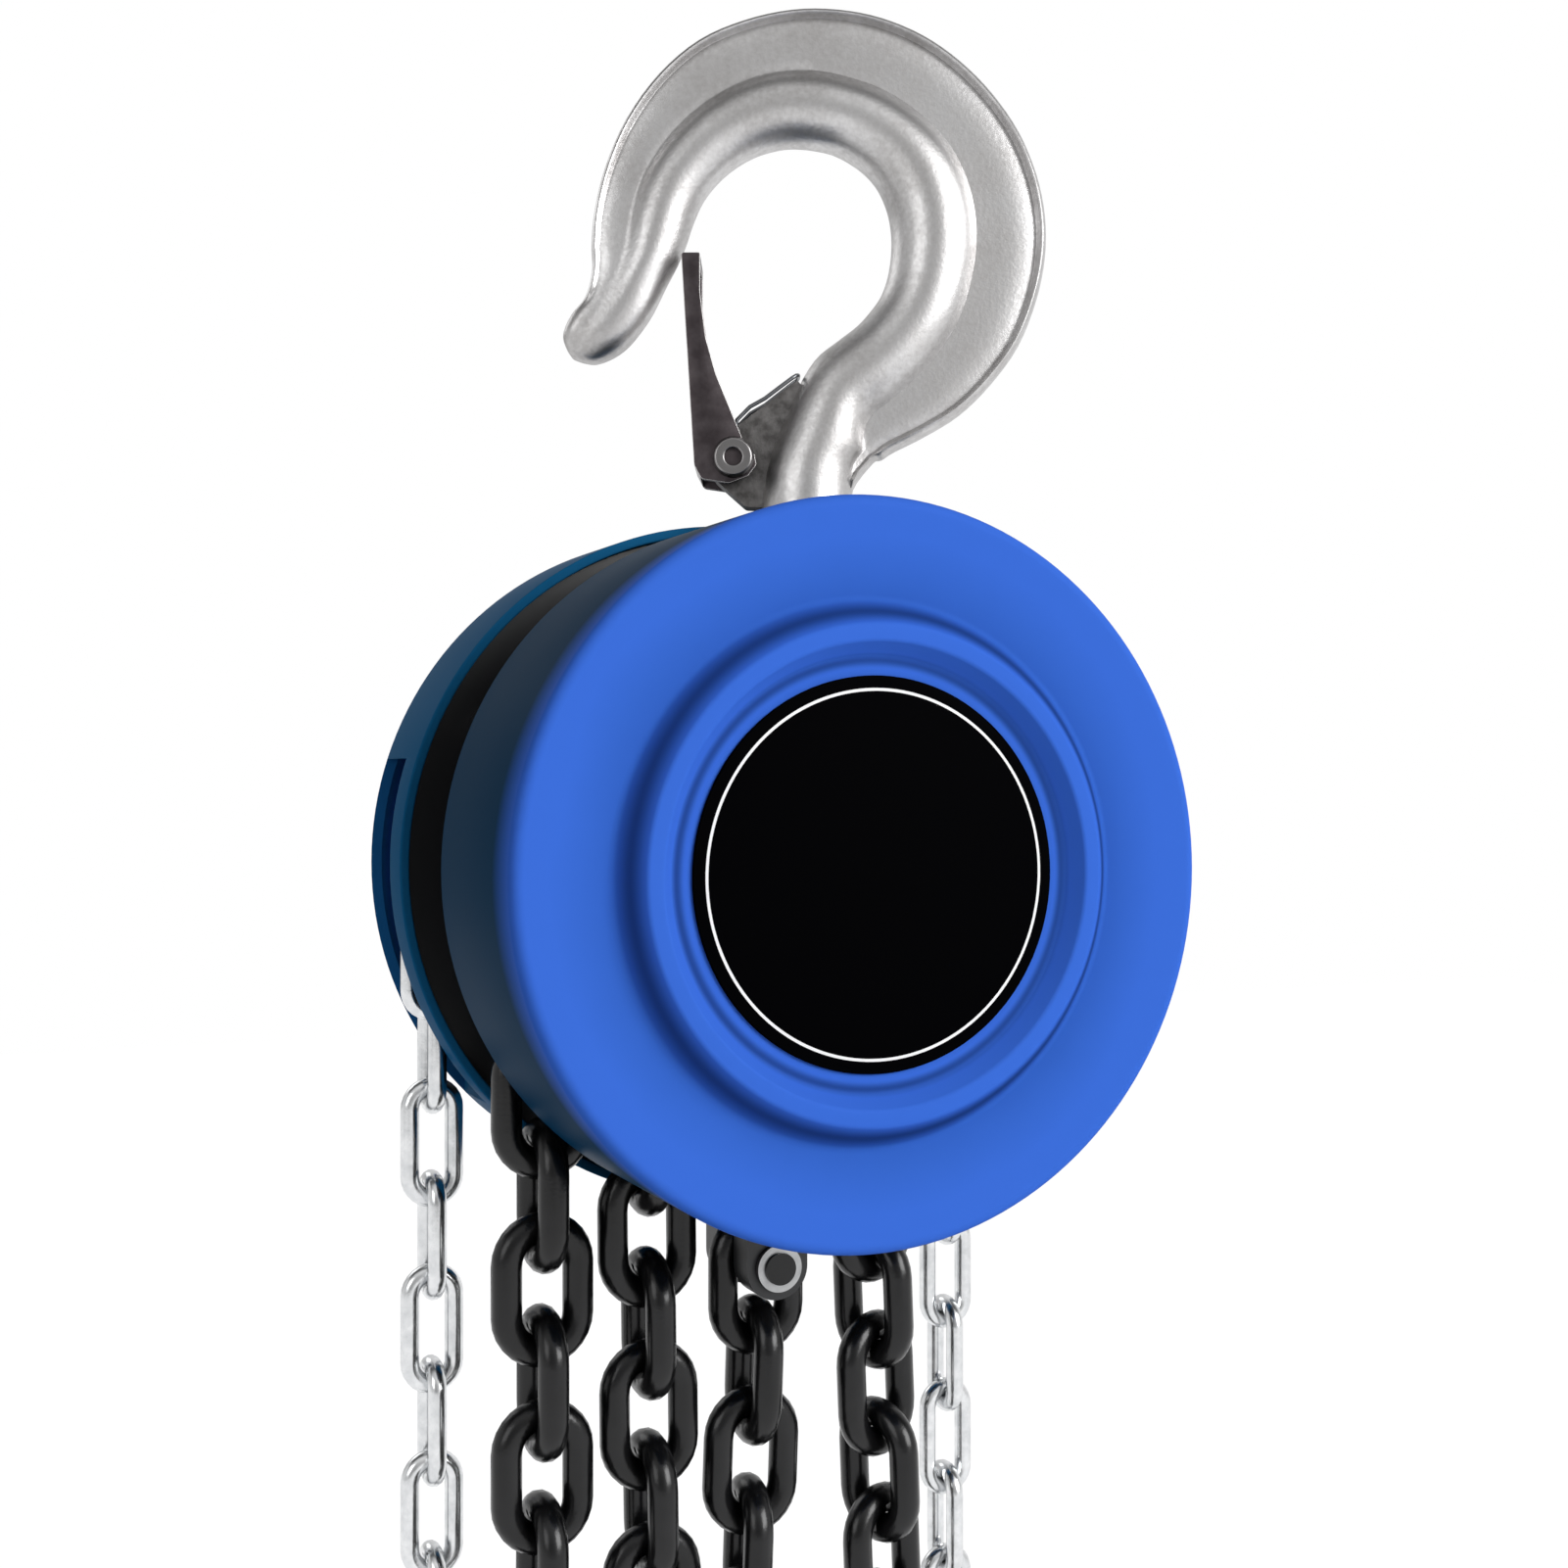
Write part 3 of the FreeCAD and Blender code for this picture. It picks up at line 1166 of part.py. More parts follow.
for name, turn in zip(("right", "left"), pawl_turns):
    arm = padded(f"pawl_{name}_arm", [
        ("pawl_tip_inside", "pawl_tip_gap"), ("pawl_tip_outside", "pawl_tip_gap"),
        ("pawl_arm_outside", "pawl_arm_up"), ("pawl_arm_inside", "pawl_arm_up"),
        ("pawl_tip_inside", "pawl_heel_up")], "ratchet_thickness", "ratchet_start")
    eye = rod("pawl_eye_radius", "ratchet_thickness", pawl_x, pawl_y, "ratchet_start")
    bore = rod("pawl_pin_radius + running_gap", "ratchet_thickness + 2 * overrun", pawl_x, pawl_y,
               "ratchet_start - overrun")
    node(f"pawl_{name}", less(joined(arm, eye), bore), drum.multiply(Placement(Vector(), turn)))


def wire_through(name, path, radius, axis):
    """A round wire along a path, as one unbroken solid with its sections square to the path."""
    sections = []
    for i, point in enumerate(path):
        along = path[min(i + 1, len(path) - 1)] - path[max(i - 1, 0)]
        along.normalize()
        across = along.cross(axis)
        across.normalize()
        up = across.cross(along)
        ring = []
        for side in range(int(mm.wire_sides)):
            around = 2 * math.pi * side / mm.wire_sides
            ring.append(point + across * (math.cos(around) * radius) + up * (math.sin(around) * radius))
        sections.append(Part.makePolygon(ring + ring[:1]))
    return shaped(name, Part.makeLoft(sections, True, True))


def coil_path(centre, radius, first_angle, turns, pitch, first_leg, last_leg):
    """Path of a coil about z, with a straight leg on along the tangent at either end."""
    steps = int(abs(turns) * mm.coil_steps)
    way = 1 if turns > 0 else -1
    path = []
    for i in range(steps + 1):
        angle = math.radians(first_angle) + way * 2 * math.pi * i / mm.coil_steps
        height = pitch * i / mm.coil_steps
        path.append(centre + Vector(math.cos(angle) * radius, math.sin(angle) * radius, height))
    for leg, end, place in ((first_leg, 0, 0), (last_leg, -1, len(path) + 1)):
        if leg:
            angle = math.radians(first_angle) + (way * 2 * math.pi * steps / mm.coil_steps if end else 0)
            tangent = Vector(-math.sin(angle), math.cos(angle), 0) * way * leg
            path.insert(place, path[end] + (tangent if end else -tangent))
    return path


def least_gap(path, radius):
    """Least air from a wire to any stretch of itself that is over half a turn further along."""
    pieces = [Part.LineSegment(a, b).toShape() for a, b in zip(path, path[1:])]
    half_turn = int(mm.coil_steps / 2)
    return min(piece.distToShape(other)[0] for i, piece in enumerate(pieces)
               for other in pieces[i + half_turn:]) - 2 * radius


pawl_spring_path = coil_path(
    Vector(0, 0, mm.pawl_spring_start), mm.pawl_spring_radius, 180, mm.pawl_spring_turns, mm.pawl_spring_pitch,
    mm.pawl_spring_leg, mm.pawl_spring_leg)
pawl_spring = wire_through("pawl_spring", pawl_spring_path, mm.pawl_spring_wire, Vector(0, 0, 1))
node("pawl_springs", copies("pawl_spring_pair", pawl_spring, [
    drum.multiply(Placement(turn.multVec(pawl_place), turn)) for turn in pawl_turns]))

UPWARD = Rotation(Vector(1, 0, 0), -90)
yoke = less(
    padded("yoke_block", [
        ("top_pin_side - yoke_half_length + yoke_corner", "yoke_low"),
        ("top_pin_side + yoke_half_length - yoke_corner", "yoke_low"),
        ("top_pin_side + yoke_half_length", "yoke_low + yoke_corner"),
        ("top_pin_side + yoke_half_length", "yoke_high - yoke_corner"),
        ("top_pin_side + yoke_half_length - yoke_corner", "yoke_high"),
        ("top_pin_side - yoke_half_length + yoke_corner", "yoke_high"),
        ("top_pin_side - yoke_half_length", "yoke_high - yoke_corner"),
        ("top_pin_side - yoke_half_length", "yoke_low + yoke_corner")], "2 * yoke_half_width", "-yoke_half_width"),
    rod("shank_bore", "yoke_high - yoke_window_low + overrun", "top_pin_side", "yoke_window_low", "0", UPWARD),
    slab("2 * yoke_window_half", "yoke_roof - yoke_window_low", "2 * (yoke_half_width + overrun)",
         "top_pin_side - yoke_window_half", "yoke_window_low", "-yoke_half_width - overrun"),
    rod("top_pin_radius + running_gap", "2 * (yoke_half_width + overrun)", "top_pin_side", "top_pin_up",
        "-yoke_half_width - overrun"))
node("top_yoke", yoke, drum)
node("thrust_washer", turned("thrust_washer_turned", [
    ("shank_bore", "thrust_washer_low"), ("thrust_washer_radius", "thrust_washer_low"),
    ("thrust_washer_radius", "yoke_roof"), ("shank_bore", "yoke_roof")]),
    drum.multiply(Placement(Vector(mm.top_pin_side, 0, 0), UPWARD)))


def hook_section(station):
    """The closed curve round the bar and its web at one station, through the same points each time."""
    x, z, outer_x, outer_z, bar, web = [share * mm.hook_bowl for share in station]
    inner = Vector(x, 0, z)
    across = Vector(outer_x, 0, outer_z) - inner
    width = across.Length
    across.normalize()
    places = [share * bar for share in BAR_POINT_SHARES]
    places += [places[-1] + (width - places[-1]) * share for share in WEB_POINT_SHARES]
    front = []
    for place in places:
        round_half = math.sqrt(max(0, place * (bar - place)))
        end = max(0, 1 - abs(2 * place / width - 1) ** mm.hook_web_power)
        flat_half = web / 2 * end ** mm.hook_web_end_share
        front.append(inner + across * place + Vector(0, max(round_half, flat_half), 0))
    points = front + [Vector(point.x, -point.y, point.z) for point in reversed(front[1:-1])]
    count = len(points)
    curve = Part.BSplineCurve()
    curve.interpolate(Points=points, PeriodicFlag=True, Parameters=[i / count for i in range(count + 1)])
    return Part.Wire([curve.toShape()])


SIDEWAYS = Rotation(Vector(1, 0, 0), 90)
LATCH_OUTLINE = ("low", "foot", "heel", "lobe", "back", "shoulder", "hip", "waist", "neck", "throat", "jaw",
                 "tip", "brow")
latch_spring_path = coil_path(
    Vector(0, 0, mm.latch_spring_first), mm.latch_spring_radius, mm.latch_spring_first_angle,
    mm.latch_spring_turns, -mm.latch_spring_pitch, mm.latch_spring_leg, mm.latch_spring_bar_leg)


def hook_set(end, place):
    """A hook with its nut, lock pin, latch, rivet and spring, at the top or the bottom."""
    sections = [hook_section(station) for station in HOOK_STATION_SHARES]
    bar = shaped(f"{end}_hook_bar", Part.makeLoft(sections, True, False))
    shank = rod("shank_radius", "hook_shank_inside - hook_shank_end", z="hook_shank_end")
    lug = stand(padded(f"{end}_hook_lug", [
        ("lug_bar_side", "lug_bar_up"), ("lug_shoulder_side", "lug_shoulder_up"),
        ("lug_nose_side", "lug_nose_up"), ("lug_heel_side", "lug_heel_up"), ("lug_foot_side", "lug_foot_up"),
        ("lug_inside", "lug_foot_up"), ("lug_inside", "lug_inside_up")], "2 * lug_half"), y="lug_half",
        turn=SIDEWAYS)
    rivet_hole = rod("rivet_radius + running_gap", "2 * (lug_half + overrun)", "rivet_side",
                     "lug_half + overrun", "rivet_up", SIDEWAYS)
    pin_hole = rod("nut_pin_radius + running_gap", "2 * (nut_pin_half + overrun)", "0",
                   "nut_pin_half + overrun", "nut_pin_up", SIDEWAYS)
    node(f"{end}_hook", less(joined(bar, shank, lug), rivet_hole, pin_hole), place)
    nut = hexagon("hook_nut_flats", "hook_nut_height", z="hook_nut_low")
    node(f"{end}_hook_nut", less(nut, rod("shank_bore", "hook_nut_height + 2 * overrun",
                                          z="hook_nut_low - overrun"),
                                 rod("nut_pin_radius + running_gap", "2 * (nut_pin_half + overrun)", "0",
                                     "nut_pin_half + overrun", "nut_pin_up", SIDEWAYS)), place)
    across = place.multiply(Placement(Vector(0, 0, mm.nut_pin_up), SIDEWAYS))
    node(f"{end}_nut_pin", turned(f"{end}_nut_pin_turned", [
        ("0", "-nut_pin_half"), ("nut_pin_radius", "-nut_pin_half"), ("nut_pin_radius", "nut_pin_half"),
        ("0", "nut_pin_half")]), across)
    latch = less(
        padded(f"{end}_latch_sides", [(f"latch_{at}_side", f"latch_{at}_up") for at in LATCH_OUTLINE],
               "2 * latch_half", "-latch_half"),
        padded(f"{end}_latch_channel", [
            ("latch_low_side + latch_web", "latch_channel_low"), ("latch_channel_reach", "latch_channel_low"),
            ("latch_channel_reach", "latch_channel_high"), ("latch_brow_side + latch_web", "latch_channel_high")],
            "2 * latch_wall_inside", "-latch_wall_inside"),
        rod("rivet_radius + running_gap", "2 * (latch_half + overrun)", "rivet_side", "rivet_up",
            "-latch_half - overrun"))
    flat = place.multiply(Placement(Vector(), SIDEWAYS))
    node(f"{end}_latch", latch, flat)
    at_rivet = flat.multiply(Placement(Vector(mm.rivet_side, mm.rivet_up, 0), Rotation()))
    node(f"{end}_latch_rivet", turned(f"{end}_rivet_turned", [
        ("rivet_bore", "-rivet_head_half"), ("rivet_head_radius", "-rivet_head_half"),
        ("rivet_head_radius", "-rivet_half"), ("rivet_radius", "-rivet_half"), ("rivet_radius", "rivet_half"),
        ("rivet_head_radius", "rivet_half"), ("rivet_head_radius", "rivet_head_half"),
        ("rivet_bore", "rivet_head_half")]), at_rivet)
    node(f"{end}_latch_spring", wire_through(f"{end}_latch_coil", latch_spring_path, mm.latch_spring_wire,
                                             Vector(0, 0, 1)), at_rivet)


block = drum.multiply(Placement(block_centre, Rotation()))
BLOCK_BOLTS = [("0", "block_top_bolt_up"), ("block_low_bolt_side", "block_low_bolt_up"),
               ("-block_low_bolt_side", "block_low_bolt_up")]
idler_outline = [("axle_radius + running_gap", "-idler_half_width"), ("sheave_radius", "-idler_half_width"),
                 *groove, ("sheave_radius", "idler_half_width"), ("axle_radius + running_gap", "idler_half_width")]
node("idler_sheave", less(turned("idler_turned", idler_outline),
                          load_pocket_tools("idler_pockets", math.pi / mm.load_pockets - bottom_phase)), block)
node("idler_axle", turned("idler_axle_turned", [
    ("0", "-cheek_inside - cheek_thickness"), ("axle_end_radius", "-cheek_inside - cheek_thickness"),
    ("axle_end_radius", "-cheek_inside"), ("axle_radius", "-cheek_inside"), ("axle_radius", "cheek_inside"),
    ("axle_end_radius", "cheek_inside"), ("axle_end_radius", "cheek_inside + cheek_thickness"),
    ("0", "cheek_inside + cheek_thickness")]), block)
for name, low in (("gear", "cheek_inside + running_gap"), ("wheel", "-cheek_inside - cheek_thickness")):
    through = f"{low} - overrun"
    node(f"block_cheek_{name}_side", less(
        joined(rod("cheek_radius", "cheek_thickness - running_gap", z=low),
               slab("2 * cheek_half_width", "-cheek_low", "cheek_thickness - running_gap", "-cheek_half_width",
                    "cheek_low", low)),
        rod("axle_end_radius + running_gap", "cheek_thickness + 2 * overrun", z=through),
        *[rod("block_bolt_end_radius + running_gap", "cheek_thickness + 2 * overrun", x, y, through)
          for x, y in BLOCK_BOLTS],
        slab("2 * (tongue_half_length + tongue_gap)", "tongue_height + 2 * tongue_gap",
             "cheek_thickness + 2 * overrun", "-tongue_half_length - tongue_gap", "tongue_low - tongue_gap",
             through)), block)
block_bolt = turned("block_bolt", [
    ("0", "-cheek_inside - cheek_thickness"), ("block_bolt_end_radius", "-cheek_inside - cheek_thickness"),
    ("block_bolt_end_radius", "-cheek_inside"), ("block_bolt_radius", "-cheek_inside"),
    ("block_bolt_radius", "cheek_inside"), ("block_bolt_end_radius", "cheek_inside"),
    ("block_bolt_end_radius", "block_bolt_end"), ("0", "block_bolt_end")])
top_bolt, side_bolt = mm.block_top_bolt_up, mm.block_low_bolt_side
block_bolt_places = [block.multiply(Placement(Vector(x, y, 0), Rotation())) for x, y in (
    (0, top_bolt), (side_bolt, mm.block_low_bolt_up), (-side_bolt, mm.block_low_bolt_up))]
node("block_bolts", copies("block_bolt_set", block_bolt, block_bolt_places))
block_nut = less(
    hexagon("stay_nut_flats", "stay_nut_height", z="cheek_inside + cheek_thickness + running_gap"),
    rod("block_bolt_end_radius + running_gap", "stay_nut_height + 2 * overrun",
        z="cheek_inside + cheek_thickness - overrun"))
node("block_nuts", copies("block_nut_set", block_nut, block_bolt_places))
node("crosshead", less(
    joined(slab("2 * crosshead_half_length", "crosshead_height", "2 * crosshead_half_width",
                "-crosshead_half_length", "crosshead_low", "-crosshead_half_width"),
           slab("2 * tongue_half_length", "tongue_height", "2 * (cheek_inside + cheek_thickness)",
                "-tongue_half_length", "tongue_low", "-cheek_inside - cheek_thickness")),
    rod("shank_bore", "crosshead_height + 2 * overrun", "0", "crosshead_low - overrun", "0", UPWARD),
    rod("crosshead_recess_radius", "crosshead_height + overrun", "0", "crosshead_seat", "0", UPWARD)), block)
node("lower_thrust_washer", turned("lower_thrust_washer_turned", [
    ("shank_bore", "crosshead_seat"), ("thrust_washer_radius", "crosshead_seat"),
    ("thrust_washer_radius", "lower_washer_high"), ("shank_bore", "lower_washer_high")]),
    block.multiply(Placement(Vector(), UPWARD)))
hook_set("top", Placement(Vector(), Rotation(Vector(0, 0, 1), mm.hook_yaw)))
lower_seat = block.multVec(Vector(0, mm.lower_seat_drop, 0))
hook_set("bottom", Placement(Vector(0, 0, lower_seat.z), Rotation(Vector(0, 0, 1), mm.hook_yaw).multiply(
    Rotation(Vector(0, 1, 0), 180))))
print("lower seat", lower_seat, "bottom sheave", block.Base)


def main():
    """Checks every object, then writes each node's solid."""
    doc.recompute()
    for thing in doc.Objects:
        if "Invalid" in thing.State or "Error" in thing.State:
            raise RuntimeError(f"{thing.Label} ({thing.Name}) failed: {thing.State}")
    os.makedirs("parts", exist_ok=True)
    for thing in nodes:
        shape = thing.Shape
        if shape.isNull() or not shape.isValid():
            raise RuntimeError(f"{thing.Label} has no valid shape")
        shape.exportStep(f"parts/{thing.Label}.step")


main()
print("bottom sheave at", block_centre, "turned by", math.degrees(bottom_phase))
print("lowest of the hand chain", min(p.y for p in hand_loop), "and of the slack end",
      min(p.y for p in slack_loop))
print("least gap of a latch spring to itself", least_gap(latch_spring_path, mm.latch_spring_wire),
      "and of a pawl spring", least_gap(pawl_spring_path, mm.pawl_spring_wire))
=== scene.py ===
import math

import bmesh
import bpy
import numpy as np
from mathutils import Matrix, Quaternion, Vector


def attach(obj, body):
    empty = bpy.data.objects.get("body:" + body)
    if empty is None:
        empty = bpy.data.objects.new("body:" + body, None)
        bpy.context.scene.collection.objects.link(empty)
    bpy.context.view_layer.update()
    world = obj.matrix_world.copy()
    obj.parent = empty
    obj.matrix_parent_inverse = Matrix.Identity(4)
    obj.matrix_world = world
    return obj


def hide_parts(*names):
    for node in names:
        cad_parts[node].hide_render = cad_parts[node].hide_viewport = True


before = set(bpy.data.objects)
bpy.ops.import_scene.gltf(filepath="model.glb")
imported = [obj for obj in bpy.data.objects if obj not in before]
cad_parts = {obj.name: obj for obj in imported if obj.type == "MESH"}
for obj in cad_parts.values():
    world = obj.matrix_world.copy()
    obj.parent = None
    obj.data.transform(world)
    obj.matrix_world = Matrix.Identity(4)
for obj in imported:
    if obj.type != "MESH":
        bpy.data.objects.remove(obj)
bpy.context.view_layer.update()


# Studio: the hoist hangs in a light tent over a pale floor, lit by one broad soft light from the right
# and weaker ones from the left and from behind. Polished metal mirrors the tent: bright behind the hoist
# and round the camera, with a dark band between, and dimmer to the left. The camera looks level.
CAMERA_TURN = math.radians(24)
CAMERA_SIDE = (-math.sin(CAMERA_TURN), -math.cos(CAMERA_TURN), 0)
RIGHT_SIDE = (math.cos(CAMERA_TURN), -math.sin(CAMERA_TURN), 0)
PHOTO_WIDTH_PX = 1601
FOCAL_LENGTH_PX = 2019
SENSOR_MM = 36
# mirrored brightness, from straight behind the hoist (0), past its sides, to the camera (1)
BANDS = ((0.0, 1.0), (0.2, 0.95), (0.42, 0.22), (0.56, 0.08), (0.68, 0.6), (0.8, 1.0), (0.9, 0.85),
         (0.96, 0.55), (1.0, 0.45))
# name, place, size in metres and watts of each soft light, all aimed at one point
LAMPS = (("key", (1.1, -1.75, 0.55), 1.3, 42), ("left", (-1.8, -0.9, 0.4), 1.0, 6),
         ("behind", (-0.9, 1.6, 0.9), 1.0, 4))
LIT_POINT = Vector((0, 0, -0.2))
FLOOR_HEIGHT = -1.0
FLOOR_HALF = 6


def linear(hex_colour):
    """A shader's linear colour from an sRGB hex value."""
    channels = [int(hex_colour[i:i + 2], 16) / 255 for i in (1, 3, 5)]
    return [c / 12.92 if c <= 0.04045 else ((c + 0.055) / 1.055) ** 2.4 for c in channels] + [1.0]


def add(tree, kind, feeds=None, **settings):
    """Adds a node: settings are its properties, feeds maps a socket to a value or to another socket."""
    node = tree.nodes.new(kind)
    for name, value in settings.items():
        setattr(node, name, value)
    for socket, value in (feeds or {}).items():
        if isinstance(value, bpy.types.NodeSocket):
            tree.links.new(value, node.inputs[socket])
        else:
            node.inputs[socket].default_value = value
    return node


camera = bpy.data.objects.new("camera", bpy.data.cameras.new("camera"))
camera.data.sensor_width = SENSOR_MM
camera.data.lens = FOCAL_LENGTH_PX / PHOTO_WIDTH_PX * SENSOR_MM
camera.data.clip_start = 0.02
camera.location = (-0.2242, -0.4879, -0.1722)
camera.rotation_euler = (math.radians(90), 0, -CAMERA_TURN)
bpy.context.scene.collection.objects.link(camera)
bpy.context.scene.camera = camera
bpy.context.scene.view_settings.view_transform = "Standard"

world = bpy.data.worlds.new("studio")
world.use_nodes = True
bpy.context.scene.world = world
world.node_tree.nodes.clear()
tent = world.node_tree
ray = add(tent, "ShaderNodeLightPath")
outward = add(tent, "ShaderNodeTexCoord").outputs["Generated"]
to_camera = add(tent, "ShaderNodeVectorMath", {0: outward, 1: CAMERA_SIDE}, operation="DOT_PRODUCT")
to_right = add(tent, "ShaderNodeVectorMath", {0: outward, 1: RIGHT_SIDE}, operation="DOT_PRODUCT")
from_behind = add(tent, "ShaderNodeMapRange", {"Value": to_camera.outputs["Value"], "From Min": -1.0})
bands = add(tent, "ShaderNodeFloatCurve", {"Value": from_behind.outputs["Result"]})
band_line = bands.mapping.curves[0]
band_line.points[0].location = BANDS[0]
band_line.points[1].location = BANDS[-1]
for position, height in BANDS[1:-1]:
    band_line.points.new(position, height)
bands.mapping.update()
left_dimmed = add(tent, "ShaderNodeMapRange", {"Value": to_right.outputs["Value"], "From Min": -0.8,
                                               "From Max": 0.5, "To Min": 0.55, "To Max": 1.0})
mirrored = add(tent, "ShaderNodeMath", {0: bands.outputs[0], 1: left_dimmed.outputs["Result"]},
               operation="MULTIPLY")
# straight to the left and to the right the tent is never dark
sideways = add(tent, "ShaderNodeMath", {0: to_right.outputs["Value"]}, operation="ABSOLUTE")
side_fill = add(tent, "ShaderNodeMapRange",
                {"Value": sideways.outputs[0], "From Min": 0.7, "From Max": 0.95, "To Max": 0.75},
                interpolation_type="SMOOTHSTEP")
mirrored = add(tent, "ShaderNodeMath", {0: mirrored.outputs[0], 1: side_fill.outputs["Result"]},
               operation="MAXIMUM")
# matt surfaces get a low, even light, and the camera sees white
soft = add(tent, "ShaderNodeMapRange", {"Value": to_right.outputs["Value"], "From Min": -1.0,
                                        "To Min": 0.14, "To Max": 0.34})
light = add(tent, "ShaderNodeMix", {0: ray.outputs["Is Glossy Ray"], 2: soft.outputs["Result"],
                                    3: mirrored.outputs[0]})
clear = add(tent, "ShaderNodeMath",
            {0: ray.outputs["Is Camera Ray"], 1: ray.outputs["Is Transmission Ray"]}, operation="MAXIMUM")
level = add(tent, "ShaderNodeMix", {0: clear.outputs[0], 2: light.outputs[0], 3: 1.0})
backdrop = add(tent, "ShaderNodeBackground", {"Color": linear("#FFFFFF"), "Strength": level.outputs[0]})
add(tent, "ShaderNodeOutputWorld", {"Surface": backdrop.outputs[0]})

for name, place, size, watts in LAMPS:
    lamp = bpy.data.objects.new(name, bpy.data.lights.new(name, "AREA"))
    lamp.data.size = size
    lamp.data.energy = watts
    lamp.location = place
    aim = LIT_POINT - lamp.location
    lamp.rotation_euler = aim.to_track_quat("-Z", "Y").to_euler()
    bpy.context.scene.collection.objects.link(lamp)

# The floor glows white to the camera and in mirrors, and throws soft light up on the rest.
sweep = bmesh.new()
bmesh.ops.create_grid(sweep, x_segments=1, y_segments=1, size=FLOOR_HALF)
sweep_mesh = bpy.data.meshes.new("floor")
sweep.to_mesh(sweep_mesh)
sweep.free()
sweep_mesh.transform(Matrix.Translation((0, 0, FLOOR_HEIGHT)))
floor = bpy.data.objects.new("floor", sweep_mesh)
bpy.context.scene.collection.objects.link(floor)
floor_paint = bpy.data.materials.new("pale_floor")
floor_paint.use_nodes = True
tree = floor_paint.node_tree
tree.nodes.clear()
ray = add(tree, "ShaderNodeLightPath")
seen = add(tree, "ShaderNodeMath", {0: ray.outputs["Is Camera Ray"], 1: ray.outputs["Is Glossy Ray"]},
           operation="MAXIMUM")
lift = add(tree, "ShaderNodeMath", {0: seen.outputs[0], 1: 0.97}, operation="MULTIPLY")
glow = add(tree, "ShaderNodeEmission", {"Color": linear("#FFFFFF"), "Strength": lift.outputs[0]})
paint = add(tree, "ShaderNodeMix", {0: seen.outputs[0], 6: linear("#ECECEE"), 7: linear("#6E6E70")},
            data_type="RGBA")
matt = add(tree, "ShaderNodeBsdfDiffuse", {"Color": paint.outputs[2]})
both = add(tree, "ShaderNodeAddShader", {0: glow.outputs[0], 1: matt.outputs[0]})
add(tree, "ShaderNodeOutputMaterial", {"Surface": both.outputs[0]})
floor.data.materials.append(floor_paint)


# Gear cover: a deep cup of 3 mm sheet, pressed with a step, a raised ring and a seat for the plate,
# then stove enamelled blue. Three round-headed screws hold its skirt to the rim of the side plate.
DRUM = Vector((-0.016, 0, -0.1934))


def begin_finish(name, hex_colour, metallic, roughness, **more):
    """A material with its coordinates and its shader: returns (material, tree, coordinates, shader)."""
    material = bpy.data.materials.new(name)
    material.use_nodes = True
    tree = material.node_tree
    tree.nodes.clear()
    coordinates = add(tree, "ShaderNodeTexCoord").outputs["Object"]
    shader = add(tree, "ShaderNodeBsdfPrincipled", {
        "Base Color": linear(hex_colour), "Metallic": metallic, "Roughness": roughness, **more})
    add(tree, "ShaderNodeOutputMaterial", {"Surface": shader.outputs[0]})
    material.diffuse_color = linear(hex_colour)
    return material, tree, coordinates, shader


def mottle(tree, coordinates, grain_mm, detail=3):
    """Noise whose grain is a real size."""
    return add(tree, "ShaderNodeTexNoise", {"Vector": coordinates, "Scale": 1000 / grain_mm,
                                            "Detail": detail, "Roughness": 0.55}).outputs["Fac"]


def shades(tree, factor, *stops):
    """A colour that runs through hex values at their positions."""
    ramp = add(tree, "ShaderNodeValToRGB", {"Fac": factor})
    while len(ramp.color_ramp.elements) < len(stops):
        ramp.color_ramp.elements.new(0.5)
    for element, (position, colour) in zip(ramp.color_ramp.elements, stops):
        element.position = position
        element.color = linear(colour)
    return ramp.outputs["Color"]


def clouded(tree, shader, coordinates, grain_mm, dark, light, detail=3):
    """A base colour that runs between two stops in clouds of a real size."""
    tree.links.new(shades(tree, mottle(tree, coordinates, grain_mm, detail), dark, light),
                   shader.inputs["Base Color"])


def rough_skin(tree, shader, coordinates, grain_mm, height_mm, detail=2):
    """A bump of a real height and grain."""
    bump = add(tree, "ShaderNodeBump", {"Strength": 1.0, "Distance": height_mm / 1000,
                                        "Height": mottle(tree, coordinates, grain_mm, detail)})
    tree.links.new(bump.outputs["Normal"], shader.inputs["Normal"])


